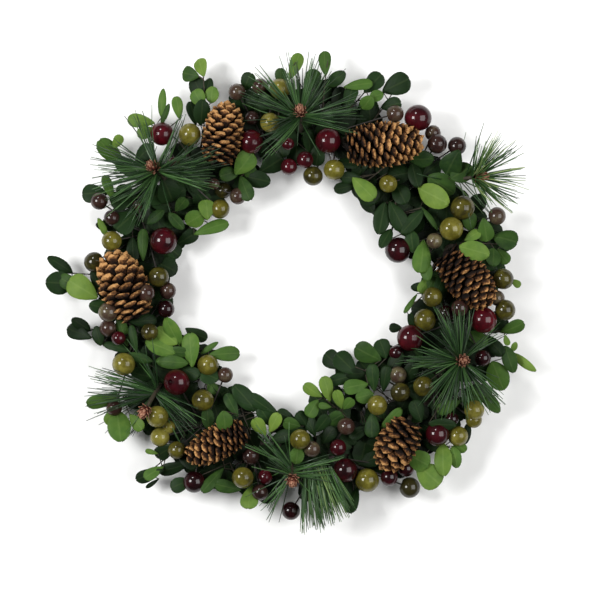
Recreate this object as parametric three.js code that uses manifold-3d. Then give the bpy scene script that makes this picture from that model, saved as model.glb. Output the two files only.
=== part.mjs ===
// Evergreen wreath lying on its back, face up. A twisted vine ring carries leafy
// sprigs, pine sprays, pine cones and berries on wire stems.
// Millimetres, +Z up. The origin is on the floor, under the middle of the outline.
import * as THREE from 'three';
import { mergeVertices } from 'three/addons/utils/BufferGeometryUtils.js';
import Module from 'manifold-3d';

const wasm = await Module();
wasm.setup();

// ---- Plan of the face ----
// Places on the face are [across, down] in plan units, as on a drawing of it.
const planUnit = 0.9;
const planOrigin = [291.7, 291.5];
const ringMiddle = [300, 293];
const gap = 0.3;

// ---- Vine ring ----
const ringRadius = 148.5;
const ringHeight = 7.5;
const strandTwists = 4;
const strandSteps = 36;
const strandSides = 5;
const strandPhase = -Math.PI / 18; // a flat side of the strand is down at each low point
const strandRadius = 3.9;
const strandOffset = 4.79;
const wireRadius = 0.6;
const wireOffset = 5.0;
const ringEnvelope = 8.9;

// ---- Foliage ----
const leafLength = 24;
const leafShape = 0.6;
const leafThickness = 0.9;
const leafArch = 1.4;
const leafNeck = 0.8;
const leafStemRadius = 1.2;
const berryStemRadius = 0.75;
const knobRadius = 3;
const needleRadius = 0.95;
const needlesPerSpray = 30;
const lowestTip = 4;

const finish = {
  vine: { color: 0x4a3526, roughness: 0.9, metalness: 0 },
  wire: { color: 0x2f4a33, roughness: 0.5, metalness: 0.4 },
  cone: { color: 0x9a6a3c, roughness: 0.8, metalness: 0 },
  bud: { color: 0x8a4a33, roughness: 0.8, metalness: 0 },
  needle: { color: 0x2f5a34, roughness: 0.6, metalness: 0 },
  leafDark: { color: 0x2a4628, roughness: 0.5, metalness: 0 },
  leafLight: { color: 0x6f9a3c, roughness: 0.5, metalness: 0 },
  wine: { color: 0x5a0f1c, roughness: 0.2, metalness: 0 },
  olive: { color: 0x7d7a22, roughness: 0.2, metalness: 0 },
  brown: { color: 0x4a3328, roughness: 0.25, metalness: 0 },
};

// Cones: [name, stalk end, tip, width], ends in plan units.
const cones = [
  ['cone_1', [216, 162], [229, 103], 40],
  ['cone_2', [343, 148], [423, 142], 43],
  ['cone_3', [138, 319], [110, 252], 46],
  ['cone_4', [443, 250], [489, 306], 42],
  ['cone_5', [249, 421], [186, 461], 37],
  ['cone_6', [414, 419], [387, 469], 38],
];
const coneHeight = 41;

// Pine sprays: root on the ring, bud, its height, and the needles' reach and spread
// (the least and the most angle from the shoot, in degrees).
const sprays = [
  { root: [301, 129], bud: [300, 112], top: 54, reach: 53, spread: [42, 97] },
  { root: [168, 182], bud: [154, 166], top: 52, reach: 62, spread: [42, 100] },
  { root: [447, 199], bud: [481, 180], top: 42, reach: 51, spread: [14, 78] },
  { root: [452, 361], bud: [464, 358], top: 54, reach: 55, spread: [42, 98] },
  { root: [291, 460], bud: [290, 483], top: 50, reach: 52, spread: [42, 97] },
  { root: [160, 387], bud: [146, 411], top: 52, reach: 56, spread: [42, 100] },
];

// Berries: [across, down, radius] in plan units, by colour.
const berries = {
  wine: [
    [162, 134, 11.5], [251, 142, 11.5], [289, 167, 8], [112, 218, 7.5],
    [163, 241, 13.3], [328, 140, 11.8], [304, 159, 7.8], [418, 118, 13.3], [437, 144, 9.7], [457, 146, 9],
    [398, 250, 12.5], [483, 320, 13], [411, 338, 13], [481, 358, 7.5],
    [438, 434, 12], [338, 447, 8], [345, 470, 12], [389, 477, 8.5], [291, 511, 9],
    [177, 382, 12.5], [225, 375, 7.5], [192, 481, 11], [119, 339, 7.5],
  ],
  olive: [
    [190, 135, 10.8], [280, 89, 10.3], [270, 123, 9.5], [220, 209, 9.8], [112, 241, 9.6],
    [334, 170, 10.3], [313, 176, 9.7], [388, 184, 8.7], [462, 208, 11.8], [451, 229, 11.5], [503, 279, 10.5],
    [505, 310, 10.5], [432, 297, 10], [400, 392, 9.5], [423, 386, 10], [377, 405, 10],
    [474, 411, 10], [459, 436, 11], [300, 439, 10], [367, 480, 11.5], [410, 488, 10],
    [124, 364, 11.3], [208, 365, 10.5], [203, 400, 10.5], [159, 416, 10.5], [177, 451, 8.5],
    [243, 477, 10.5], [94, 262, 9.8], [159, 277, 10],
  ],
  brown: [
    [237, 92, 8.2], [238, 196, 8.3], [99, 201, 8.5], [395, 114, 8.2], [434, 241, 7.5],
    [497, 216, 8.5], [459, 308, 8.3], [346, 426, 8.5], [114, 408, 7.5],
    [260, 492, 8], [168, 291, 8], [110, 312, 9], [150, 333, 8],
  ],
};

// Where each berry bunch is wired to the ring, in degrees round it, and its colour.
const berryRoots = [
  [104, 'olive'], [78, 'wine'], [46, 'wine'], [23, 'olive'], [-9, 'olive'], [-36, 'olive'],
  [-81, 'wine'], [-107, 'brown'], [-126, 'olive'], [-167, 'brown'], [159, 'brown'], [135, 'wine'],
];

// Leafy sprigs: bunch, tone, root on the ring, bend, tip, tip height, and each
// leaf's middle with its length where it isn't the usual one.
const sprigs = [
  ['top_left', 'leafLight', [194, 167], [209, 130], [203, 76], 30,
    [[201, 66], [189, 75, 20], [206, 85, 20], [198, 98, 22], [213, 96, 20], [199, 112, 22]]],
  ['top_left', 'leafLight', [194, 167], [180, 128], [136, 121], 26,
    [[140, 121, 26], [146, 133, 20], [162, 102, 26], [178, 109, 24], [164, 115, 20]]],
  ['left_high', 'leafDark', [164, 200], [138, 178], [104, 146], 16,
    [[105, 147, 22], [117, 141, 18], [127, 166, 22]]],
  ['left_high', 'leafDark', [164, 200], [130, 196], [94, 190], 20,
    [[91, 191, 22], [123, 201, 22]]],
  ['left', 'leafDark', [150, 222], [126, 232], [99, 227], 20,
    [[125, 222, 24], [101, 226, 24], [143, 249, 34, 0.36]]],
  ['inner_high_left', 'leafLight', [163, 212], [184, 206], [214, 227], 24,
    [[170, 190, 20], [181, 205, 22], [195, 219, 24], [208, 210, 22], [212, 228, 24]]],
  ['inner_top_left', 'leafDark', [241, 142], [243, 166], [258, 186], 24,
    [[244, 164, 22], [227, 173, 24], [256, 171, 22], [271, 164, 24], [258, 184, 22], [245, 190, 22]]],
  ['inner_top_left', 'leafDark', [241, 142], [252, 106], [247, 78], 20,
    [[247, 80, 22], [262, 104, 22]]],
  ['top', 'leafLight', [281, 131], [272, 96], [296, 62], 32,
    [[296, 64, 26], [280, 75, 22], [310, 80, 20]]],
  ['top_right', 'leafLight', [322, 132], [322, 98], [328, 60], 32,
    [[326, 63, 24], [337, 79, 22]]],
  ['top_right', 'leafLight', [322, 132], [352, 110], [374, 80], 26,
    [[359, 85, 24], [375, 81, 24], [366, 103, 22], [379, 97, 22]]],
  ['outer_right_top', 'leafDark', [358, 135], [384, 112], [398, 82], 22,
    [[397, 85, 27, 0.78], [391, 104, 20], [408, 100, 22]]],
  ['inner_right_high', 'leafDark', [391, 160], [376, 176], [352, 190], 26,
    [[363, 188, 27], [344, 185, 22], [367, 202, 22]]],
  ['inner_right_high', 'leafDark', [391, 160], [402, 194], [390, 242], 22,
    [[402, 194, 24], [381, 217, 24], [397, 216, 22], [415, 223, 24], [386, 238, 24]]],
  ['right_high', 'leafLight', [430, 187], [442, 180], [464, 164], 36,
    [[434, 196, 36, 0.68], [441, 180, 22], [453, 163, 24], [464, 173, 22]]],
  ['right', 'leafLight', [457, 241], [482, 244], [514, 244], 22,
    [[475, 223, 24], [486, 231, 22], [473, 252, 24], [507, 239, 24], [493, 256, 22], [506, 260, 22]]],
  ['inner_right', 'leafLight', [452, 262], [436, 250], [414, 244], 24,
    [[422, 257, 26], [429, 271, 26], [411, 241, 20]]],
  ['inner_right', 'leafDark', [452, 262], [438, 286], [404, 312], 22,
    [[411, 302, 26, 0.4], [420, 286, 20], [440, 284, 20]]],
  ['right_low', 'leafDark', [460, 330], [486, 336], [517, 327], 20,
    [[514, 328, 24], [496, 344, 22], [506, 338, 16], [515, 283, 16], [478, 338, 20]]],
  ['right_low', 'leafDark', [460, 330], [496, 350], [532, 368], 16,
    [[509, 358, 22], [524, 363, 26, 0.42], [514, 348, 18]]],
  ['right_corner', 'leafDark', [444, 385], [470, 394], [497, 396], 18,
    [[491, 376, 24], [493, 404, 24], [474, 392, 22], [462, 404, 20]]],
  ['inner_low_right', 'leafDark', [424, 405], [388, 376], [334, 360], 24,
    [[334, 359, 22], [346, 365, 24], [341, 379, 22], [370, 353, 24], [386, 346, 24], [373, 377, 22],
      [386, 378, 20], [357, 386, 22], [369, 395, 22], [410, 372, 22]]],
  ['inner_low', 'leafLight', [360, 444], [354, 416], [316, 394], 22,
    [[313, 391, 24], [327, 389, 22], [314, 408, 22], [326, 406, 20], [339, 399, 22], [351, 403, 22]]],
  ['low_inner', 'leafDark', [322, 456], [318, 432], [296, 420], 22,
    [[293, 422, 22], [304, 417, 22], [319, 423, 22], [334, 420, 22], [328, 436, 20]]],
  ['low_right', 'leafLight', [399, 430], [424, 440], [462, 452], 22,
    [[418, 458, 24], [428, 474, 32, 0.7], [443, 459, 26], [457, 455, 22], [468, 434, 22], [445, 424, 20]]],
  ['low_right', 'leafLight', [399, 430], [388, 418], [370, 425], 24,
    [[372, 425, 24], [391, 417, 22], [416, 412, 20]]],
  ['low', 'leafDark', [341, 456], [358, 474], [352, 506], 22,
    [[369, 461, 22], [353, 503, 24], [346, 489, 22], [334, 497, 24]]],
  ['low_left', 'leafLight', [226, 446], [226, 468], [252, 498], 20,
    [[209, 480, 30, 0.4], [228, 486, 24], [251, 498, 26]]],
  ['left_corner', 'leafLight', [188, 418], [184, 452], [136, 480], 20,
    [[141, 479, 24], [153, 470, 24], [172, 471, 22], [155, 487, 24, 0.4], [152, 453, 22], [167, 449, 20],
      [182, 487, 22]]],
  ['left_low', 'leafLight', [158, 378], [134, 398], [108, 410], 20,
    [[100, 399, 22], [118, 428, 28], [138, 424, 24], [141, 357, 22], [104, 417, 20]]],
  ['inner_low_left', 'leafDark', [262, 454], [246, 430], [238, 398], 24,
    [[246, 399, 30], [232, 410, 24], [225, 423, 22], [209, 417, 24]]],
  ['inner_low_left', 'leafDark', [262, 454], [264, 432], [292, 421], 26,
    [[259, 426, 26, 0.7], [275, 422, 26, 0.7], [280, 437, 20]]],
  ['outer_left', 'leafLight', [137, 274], [102, 276], [56, 272], 16,
    [[60, 264, 24], [58, 282, 24], [83, 289, 30], [86, 270, 20]]],
  ['left_lower', 'leafDark', [142, 341], [108, 326], [70, 330], 14,
    [[98, 306, 22], [78, 335, 24], [80, 323, 22], [98, 335, 22], [125, 332, 20], [137, 342, 20]]],
  ['inner_left', 'leafLight', [148, 354], [176, 346], [232, 352], 26,
    [[162, 345, 26], [173, 331, 26], [191, 350, 30], [172, 362, 26], [195, 333, 26], [226, 353, 26],
      [211, 349, 22], [207, 338, 22]]],
  ['inner_left', 'leafLight', [148, 354], [184, 366], [216, 386], 20,
    [[207, 376, 24], [214, 388, 26], [190, 372, 22]]],
];

// ---- Vectors and draws ----
function onPlan([across, down], height) {
  const x = (across - planOrigin[0]) * planUnit;
  const y = (planOrigin[1] - down) * planUnit;
  return new THREE.Vector3(x, y, height);
}

const ringCentre = onPlan(ringMiddle, 0);

function offRing(point) {
  return Math.hypot(point.x - ringCentre.x, point.y - ringCentre.y) - ringRadius;
}

// A point of the plan laid on the ring's upper side, just clear of the vines.
function onRing(place, radius) {
  const point = onPlan(place, 0);
  const off = THREE.MathUtils.clamp(offRing(point), -ringEnvelope, ringEnvelope);
  point.z = ringHeight + Math.sqrt(ringEnvelope ** 2 - off ** 2) + radius + 2 * gap;
  return point;
}

function drawer(seed) {
  let state = seed;
  return () => {
    state = (state * 16807) % 2147483647;
    return state / 2147483647;
  };
}

function along(points, steps) {
  const curve = new THREE.QuadraticBezierCurve3(...points);
  return curve.getPoints(steps);
}

// ---- Solids ----
function toSolid(geometry) {
  geometry.deleteAttribute('normal');
  geometry.deleteAttribute('uv');
  const merged = mergeVertices(geometry, 1e-4);
  return new wasm.Manifold(new wasm.Mesh({
    numProp: 3,
    vertProperties: new Float32Array(merged.attributes.position.array),
    triVerts: new Uint32Array(merged.index.array),
  }));
}

function fromFaces(points, faces) {
  const geometry = new THREE.BufferGeometry();
  geometry.setAttribute('position', new THREE.Float32BufferAttribute(points.flatMap(p => p.toArray()), 3));
  geometry.setIndex(faces.flat());
  return geometry;
}

function toGeometry(solid) {
  const { vertProperties, triVerts } = solid.getMesh();
  const geometry = new THREE.BufferGeometry();
  geometry.setAttribute('position', new THREE.BufferAttribute(vertProperties, 3));
  geometry.setIndex(new THREE.BufferAttribute(triVerts, 1));
  geometry.computeVertexNormals();
  return geometry;
}

// A straight-sided tube through the points, capped at both ends.
function tube(points, radius, sides) {
  const places = [];
  const faces = [];
  points.forEach((point, i) => {
    const before = points[Math.max(i - 1, 0)];
    const after = points[Math.min(i + 1, points.length - 1)];
    const way = after.clone().sub(before).normalize();
    const across = new THREE.Vector3(0, 0, 1).cross(way);
    if (across.length() < 0.1) across.set(1, 0, 0);
    across.normalize();
    const up = way.clone().cross(across);
    for (let k = 0; k < sides; k += 1) {
      const turn = (2 * Math.PI * k) / sides;
      places.push(point.clone()
        .addScaledVector(across, radius * Math.cos(turn))
        .addScaledVector(up, radius * Math.sin(turn)));
    }
  });
  for (let i = 0; i + 1 < points.length; i += 1) {
    for (let k = 0; k < sides; k += 1) {
      const a = i * sides + k;
      const b = i * sides + ((k + 1) % sides);
      faces.push([a, b, b + sides], [a, b + sides, a + sides]);
    }
  }
  const last = (points.length - 1) * sides;
  for (let k = 1; k + 1 < sides; k += 1) {
    faces.push([0, k + 1, k], [last, last + k, last + k + 1]);
  }
  return toSolid(fromFaces(places, faces));
}

function ball(centre, radius) {
  const geometry = new THREE.SphereGeometry(radius, 6, 4);
  geometry.translate(centre.x, centre.y, centre.z);
  return toSolid(geometry);
}

// An obovate blade that arches a little, on a neck that starts as a point in the stem.
function blade(from, middle, length, width, roll, grow) {
  const way = middle.clone().sub(from);
  const start = Math.max(way.length() - length / 2, 1.5);
  way.normalize();
  const side = new THREE.Vector3(-way.y, way.x, 0).normalize().applyAxisAngle(way, roll);
  const up = way.clone().cross(side);
  const half = leafThickness / 2 + grow;
  const place = (distance, offset, rise) => from.clone()
    .addScaledVector(way, distance)
    .addScaledVector(side, offset)
    .addScaledVector(up, rise);
  const stations = [
    [start, leafNeck, 0],
    [start + 0.38 * length, 0.43 * width, leafArch],
    [start + 0.76 * length, 0.48 * width, leafArch],
  ];
  const edge = (sign, rise) => stations.map(([distance, reach, arch]) => (
    place(distance, sign * (reach + grow), arch + rise)));
  const loop = rise => [...edge(-1, rise), place(start + length + grow, 0, rise), ...edge(1, rise).reverse()];
  const places = [...loop(half), ...loop(-half), from.clone()];
  const count = 7;
  const point = 2 * count;
  const top = [[0, 1, 5], [0, 5, 6], [1, 2, 4], [1, 4, 5], [2, 3, 4]];
  const faces = [...top, ...top.map(([a, b, c]) => [a + count, c + count, b + count])];
  for (let k = 0; k + 1 < count; k += 1) {
    faces.push([k, k + count, k + 1 + count], [k, k + 1 + count, k + 1]);
  }
  faces.push([point, 0, 6], [point, 6 + count, count], [point, count, 0], [point, 6, 6 + count]);
  return toSolid(fromFaces(places, faces));
}

function needle(from, way, length, radius) {
  const geometry = new THREE.ConeGeometry(radius, length, 3, 1);
  geometry.translate(0, length / 2, 0);
  const turn = new THREE.Quaternion().setFromUnitVectors(new THREE.Vector3(0, 1, 0), way);
  geometry.applyQuaternion(turn);
  geometry.translate(from.x, from.y, from.z);
  return toSolid(geometry);
}

// ---- Register of what has been laid ----
const nodes = new Map();
const laid = [];

function lay(name, slot, solid, kind) {
  if (!nodes.has(name)) nodes.set(name, { slot, solids: [] });
  nodes.get(name).solids.push(solid);
  laid.push({ name, solid, kind, box: solid.boundingBox() });
}

function boxesMeet(a, b) {
  return [0, 1, 2].every(i => a.min[i] < b.max[i] && b.min[i] < a.max[i]);
}

function isClear(name, solid, kind) {
  const box = solid.boundingBox();
  return laid.every(other => {
    if ((other.name === name && (!kind || other.kind !== kind)) || !boxesMeet(box, other.box)) return true;
    const shared = solid.intersect(other.solid);
    const empty = shared.isEmpty();
    shared.delete();
    return empty;
  });
}

// ---- Vine ring ----
function ringTube(offset, phase, radius, sides) {
  const places = [];
  const faces = [];
  for (let i = 0; i < strandSteps; i += 1) {
    const angle = (2 * Math.PI * i) / strandSteps;
    const twist = strandTwists * angle + phase;
    for (let k = 0; k < sides; k += 1) {
      const turn = twist + (2 * Math.PI * (k + 0.5)) / sides;
      const out = ringRadius + offset * Math.cos(twist) + radius * Math.cos(turn);
      const height = ringHeight + offset * Math.sin(twist) + radius * Math.sin(turn);
      places.push(new THREE.Vector3(
        ringCentre.x + out * Math.cos(angle),
        ringCentre.y + out * Math.sin(angle),
        height,
      ));
      const nextRing = ((i + 1) % strandSteps) * sides;
      const nextSide = (k + 1) % sides;
      const a = i * sides + k;
      const b = i * sides + nextSide;
      faces.push([a, nextRing + k, nextRing + nextSide], [a, nextRing + nextSide, b]);
    }
  }
  return toSolid(fromFaces(places, faces));
}

function floorBlock() {
  const wide = 3 * ringRadius;
  const geometry = new THREE.BoxGeometry(wide, wide, 20);
  geometry.translate(0, 0, -10);
  return toSolid(geometry);
}

function makeRing() {
  const floor = floorBlock();
  for (let k = 0; k < 3; k += 1) {
    const strand = ringTube(strandOffset, strandPhase + (2 * Math.PI * k) / 3, strandRadius, strandSides);
    lay(`vine_${k + 1}`, 'vine', strand.subtract(floor));
  }
  lay('binding_wire', 'wire', ringTube(wireOffset, strandPhase + Math.PI / 3, wireRadius, 3));
}

// ---- Pine cones ----
// Scales stand out of the cone in staggered rows, each pushed towards the tip.
function coneBody(length, width) {
  const rows = 9;
  const columns = 12;
  const places = [new THREE.Vector3(0, 0, 0)];
  const faces = [];
  const widest = 0.36;
  for (let i = 1; i < rows; i += 1) {
    const s = i / rows;
    const reach = s < widest ? (widest - s) / (widest + 0.08) : (s - widest) / (1.04 - widest);
    const round = Math.sqrt(1 - reach ** 2);
    for (let j = 0; j < columns; j += 1) {
      const scale = (i + j) % 2 === 0;
      const radius = (width / 2) * round * (scale ? 1 : 0.7);
      const turn = (2 * Math.PI * j) / columns;
      const height = length * (s + (scale ? 0.03 : -0.03));
      places.push(new THREE.Vector3(radius * Math.cos(turn), radius * Math.sin(turn), height));
    }
  }
  const tip = places.push(new THREE.Vector3(0, 0, length)) - 1;
  for (let j = 0; j < columns; j += 1) {
    const next = (j + 1) % columns;
    faces.push([0, 1 + next, 1 + j]);
    for (let i = 0; i + 2 < rows; i += 1) {
      const a = 1 + i * columns + j;
      const b = 1 + i * columns + next;
      const scale = (i + 1 + j) % 2 === 0;
      if (scale) faces.push([a, b, b + columns], [a, b + columns, a + columns]);
      else faces.push([a, b, a + columns], [b, b + columns, a + columns]);
    }
    faces.push([tip, tip - columns + j, tip - columns + next]);
  }
  return fromFaces(places, faces);
}

function makeCones() {
  for (const [name, base, tip, width] of cones) {
    const from = onPlan(base, coneHeight - 3);
    const to = onPlan(tip, coneHeight + 1);
    const way = to.clone().sub(from);
    const geometry = coneBody(way.length(), width * planUnit);
    const turn = new THREE.Quaternion().setFromUnitVectors(new THREE.Vector3(0, 0, 1), way.normalize());
    geometry.applyQuaternion(turn);
    geometry.translate(from.x, from.y, from.z);
    const stalkEnd = from.clone().addScaledVector(way, 12);
    const bend = from.clone().addScaledVector(way, -6);
    bend.z = 26;
    const foot = from.clone().sub(ringCentre).setZ(0).setLength(ringRadius).add(ringCentre);
    foot.z = ringHeight + ringEnvelope + 2.2;
    lay(name, 'cone', toSolid(geometry));
    lay(name, 'cone', tube(along([foot, bend, stalkEnd], 4), 2.2, 4));
  }
}

// ---- Pine sprays ----
function sprayCore(spray) {
  const root = onRing(spray.root, 2.4);
  const bud = onPlan(spray.bud, spray.top);
  const bend = root.clone().lerp(bud, 0.4);
  bend.z = root.z + 0.62 * (bud.z - root.z);
  return along([root, bend, bud], 4);
}

function makeSprayCores() {
  sprays.forEach((spray, i) => {
    const core = sprayCore(spray);
    const bud = core.at(-1);
    const way = bud.clone().sub(core.at(-2)).normalize();
    lay(`pine_spray_${i + 1}`, 'needle', tube(core, 2.4, 5));
    const scales = new THREE.SphereGeometry(1, 6, 4);
    scales.rotateX(Math.PI / 2);
    scales.scale(5.2, 5.2, 6.5);
    const turn = new THREE.Quaternion().setFromUnitVectors(new THREE.Vector3(0, 0, 1), way);
    scales.applyQuaternion(turn);
    const middle = bud.clone().addScaledVector(way, 6.5 + gap);
    scales.translate(middle.x, middle.y, middle.z);
    lay(`pine_bud_${i + 1}`, 'bud', toSolid(scales));
  });
}

function needleWay(axis, lean, turn) {
  const across = new THREE.Vector3(0, 0, 1).cross(axis);
  if (across.length() < 0.1) across.set(1, 0, 0);
  across.normalize();
  const way = axis.clone().applyAxisAngle(across, lean);
  return way.applyAxisAngle(axis, turn).normalize();
}

function makeNeedles() {
  const goldenAngle = Math.PI * (3 - Math.sqrt(5));
  const nudges = [[0, 0], [-0.12, 0], [0, 0.14], [0, -0.14], [-0.24, 0], [-0.12, 0.2], [-0.12, -0.2], [-0.4, 0]];
  sprays.forEach((spray, i) => {
    const name = `pine_spray_${i + 1}`;
    const core = sprayCore(spray);
    const curve = new THREE.CatmullRomCurve3(core);
    const axis = core.at(-1).clone().sub(core.at(-3)).normalize();
    const draw = drawer(101 + 17 * i);
    const [least, most] = spray.spread.map(THREE.MathUtils.degToRad);
    for (let n = 0; n < needlesPerSpray; n += 1) {
      const share = (n + 0.5) / needlesPerSpray;
      const from = curve.getPoint(0.98 - 0.34 * share);
      const lean = least + (most - least) * Math.sqrt(share) + 0.1 * (draw() - 0.5);
      const turn = n * goldenAngle + 0.3 * draw();
      const length = spray.reach * (0.86 + 0.2 * draw());
      for (const [tip, swing] of nudges) {
        const way = needleWay(axis, lean + tip, turn + swing);
        if (from.z + length * way.z < lowestTip) continue;
        if (isClear(name, needle(from, way, length, needleRadius + gap))) {
          lay(name, 'needle', needle(from, way, length, needleRadius));
          break;
        }
      }
    }
  });
}

// ---- Berries ----
function berryRoot(degrees) {
  const angle = THREE.MathUtils.degToRad(degrees);
  const [across, down] = ringMiddle;
  const reach = ringRadius / planUnit;
  return onRing([across + reach * Math.cos(angle), down - reach * Math.sin(angle)], knobRadius);
}

function makeBerries() {
  const roots = berryRoots.map(([degrees]) => berryRoot(degrees));
  const all = Object.values(berries).flat().sort((a, b) => b[2] - a[2]);
  const bunches = all.map(([across, down, size]) => {
    const centre = onPlan([across, down], 0);
    const off = Math.min(Math.abs(offRing(centre)), 56);
    centre.z = 12 + 27 * Math.sqrt(1 - (off / 60) ** 2);
    const spans = roots.map(root => Math.hypot(root.x - centre.x, root.y - centre.y));
    const bunch = spans.indexOf(Math.min(...spans));
    return { centre, radius: size * planUnit, bunch, name: `berries_${bunch + 1}` };
  });
  const shifts = [0, -2, 2, -4, 4, -6, 6, -8, 8, -11, 11, 14, -14, 18];
  roots.forEach((root, i) => layKnob(`berries_${i + 1}`, berryRoots[i][1], root));
  const set = bunches.filter(berry => {
    const start = berry.centre.z;
    const shift = shifts.find(change => {
      berry.centre.z = start + change;
      return berry.centre.z > berry.radius + 1 && isClear('', ball(berry.centre, berry.radius + gap));
    });
    if (shift === undefined) return false;
    berry.centre.z = start + shift;
    lay(berry.name, berryRoots[berry.bunch][1], ball(berry.centre, berry.radius));
    return true;
  });
  for (const berry of set) {
    layBerryStem(berry, roots[berry.bunch], berryRoots[berry.bunch][1]);
  }
}

function layKnob(name, slot, place) {
  const geometry = new THREE.OctahedronGeometry(knobRadius);
  geometry.translate(place.x, place.y, place.z);
  lay(name, slot, toSolid(geometry));
}

function layBerryStem(berry, root, slot) {
  const span = berry.centre.clone().sub(root);
  const side = new THREE.Vector3(-span.y, span.x, 0).normalize();
  for (const swing of [0, 5, -5, 10, -10, 16, -16, 22, -22]) {
    for (const rise of [0.25, 0.5, 0.05, 0.8, -0.15, 1.1]) {
      const bend = root.clone().lerp(berry.centre, 0.5).addScaledVector(side, swing);
      bend.z = Math.max(root.z + rise * span.z, 4);
      const path = [root, bend, berry.centre];
      if (isClear(berry.name, tube(path, berryStemRadius + gap, 3))) {
        lay(berry.name, slot, tube(path, berryStemRadius, 3));
        return;
      }
    }
  }
}

// ---- Leafy sprigs ----
function sprigStem(sprig, liftBend, liftTip) {
  const [, , root, bend, tip, tipHeight] = sprig;
  const start = onRing(root, leafStemRadius);
  const end = onPlan(tip, tipHeight + liftTip);
  const middle = onPlan(bend, (start.z + end.z) / 2 + liftBend);
  return along([start, middle, end], 3);
}

function laySprigStems() {
  const stems = [];
  for (const sprig of sprigs) {
    const name = `leaves_${sprig[0]}`;
    const lifts = [0, 3, -3, 6, -6, 9, -9, 12];
    const tries = lifts.flatMap(tip => lifts.map(bend => [bend, tip]));
    tries.sort((a, b) => Math.abs(a[0]) + Math.abs(a[1]) - Math.abs(b[0]) - Math.abs(b[1]));
    const found = tries.find(([bend, tip]) => {
      const path = sprigStem(sprig, bend, tip);
      return path.every(p => p.z > 3) && isClear(name, tube(path, leafStemRadius + gap, 3));
    });
    const path = sprigStem(sprig, ...found);
    lay(name, sprig[1], tube(path, leafStemRadius, 3));
    stems.push(path);
  }
  return stems;
}

// The point of the stem that a leaf grows from: near its base, and towards the root.
function leafFoot(path, middle, reach) {
  const points = path.slice(1).flatMap((end, i) => (
    [0.1, 0.3, 0.5, 0.7, 0.9].map(share => path[i].clone().lerp(end, share))));
  const spans = points.map(p => Math.hypot(p.x - middle.x, p.y - middle.y));
  const nearest = spans.indexOf(Math.min(...spans));
  let best = nearest;
  for (let i = nearest; i > 0; i -= 1) {
    if (Math.abs(spans[i] - reach) < Math.abs(spans[best] - reach)) best = i;
  }
  return points[best];
}

function layLeaves(stems) {
  sprigs.forEach((sprig, s) => {
    const path = stems[s];
    const name = `leaves_${sprig[0]}`;
    for (const [across, down, size = leafLength, shape = leafShape] of sprig[6]) {
      const middle = onPlan([across, down], 0);
      const length = size * planUnit;
      const width = length * shape;
      const foot = leafFoot(path, middle, length / 2 + 3);
      const off = Math.min(Math.abs(offRing(middle)), 80);
      const level = 9 + 21 * Math.sqrt(1 - (off / 88) ** 2);
      const tries = [];
      for (const lift of [0, 2, -2, 4, -4, 6, -6, 8, -8, 11, -11, 14, -14, 18, 22, 26]) {
        for (const roll of [0, 0.35, -0.35]) tries.push([lift, roll]);
      }
      const fits = kind => tries.find(([lift, roll]) => {
        middle.z = level + lift;
        if (middle.z < 5) return false;
        return isClear(name, blade(foot, middle, length, width, roll, gap), kind);
      });
      const found = fits('blade') || fits();
      middle.z = level + found[0];
      lay(name, sprig[1], blade(foot, middle, length, width, found[1], 0), 'blade');
    }
  });
}

// ---- Whole wreath ----
function largestBody(solids) {
  const joined = wasm.Manifold.union(solids);
  const bodies = joined.decompose().sort((a, b) => b.volume() - a.volume());
  return bodies[0];
}

makeRing();
makeCones();
makeSprayCores();
makeBerries();
layLeaves(laySprigStems());
makeNeedles();

const wreath = new THREE.Group();
for (const [name, { slot, solids }] of nodes) {
  const geometry = toGeometry(largestBody(solids));
  const mesh = new THREE.Mesh(geometry, new THREE.MeshStandardMaterial(finish[slot]));
  mesh.name = name;
  wreath.add(mesh);
}

export default wreath;
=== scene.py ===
import functools
import math
import random

import bmesh
import bpy
from mathutils import Matrix, Vector
from mathutils.bvhtree import BVHTree


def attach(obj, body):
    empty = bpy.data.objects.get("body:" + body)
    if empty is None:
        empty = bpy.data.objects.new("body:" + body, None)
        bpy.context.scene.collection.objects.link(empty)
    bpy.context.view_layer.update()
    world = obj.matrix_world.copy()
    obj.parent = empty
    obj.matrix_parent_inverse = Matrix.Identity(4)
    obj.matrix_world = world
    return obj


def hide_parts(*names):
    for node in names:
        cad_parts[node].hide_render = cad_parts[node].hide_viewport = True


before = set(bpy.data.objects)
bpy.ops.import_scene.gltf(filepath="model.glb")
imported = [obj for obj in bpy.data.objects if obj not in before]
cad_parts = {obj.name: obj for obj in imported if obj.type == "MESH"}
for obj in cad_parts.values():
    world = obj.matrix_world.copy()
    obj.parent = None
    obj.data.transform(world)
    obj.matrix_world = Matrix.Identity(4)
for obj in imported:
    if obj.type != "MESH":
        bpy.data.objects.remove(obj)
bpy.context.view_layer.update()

bpy.ops.object.select_all(action="DESELECT")
print("frame loaded:", len(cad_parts), "nodes")

# The face is laid out on a plan. A place on it is (across, down) in plan units of 0.9 mm.
plan = {"unit": 0.0009, "origin": (291.7, 291.5), "ringMiddle": (300, 293)}


def onPlan(across, down, height=0.0):
    unit, (left, top) = plan["unit"], plan["origin"]
    return Vector(((across - left) * unit, (top - down) * unit, height))


def apart(a, b):  # the distance between two places, seen from above
    return math.hypot(a.x - b.x, a.y - b.y)


def heading(a, b):  # the level direction from one place to another
    return Vector((b.x - a.x, b.y - a.y, 0)).normalized()


def between(ends, share):
    return ends[0] + (ends[1] - ends[0]) * share


def sway(draw, most):  # a random amount either way
    return draw.uniform(-most, most)


def onCurve(start, bend, end, steps):
    shares = [step / steps for step in range(steps + 1)]
    return [(1 - t) ** 2 * start + 2 * t * (1 - t) * bend + t * t * end for t in shares]


def addItem(name, data):
    item = bpy.data.objects.new(name, data)
    bpy.context.collection.objects.link(item)
    return item


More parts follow.
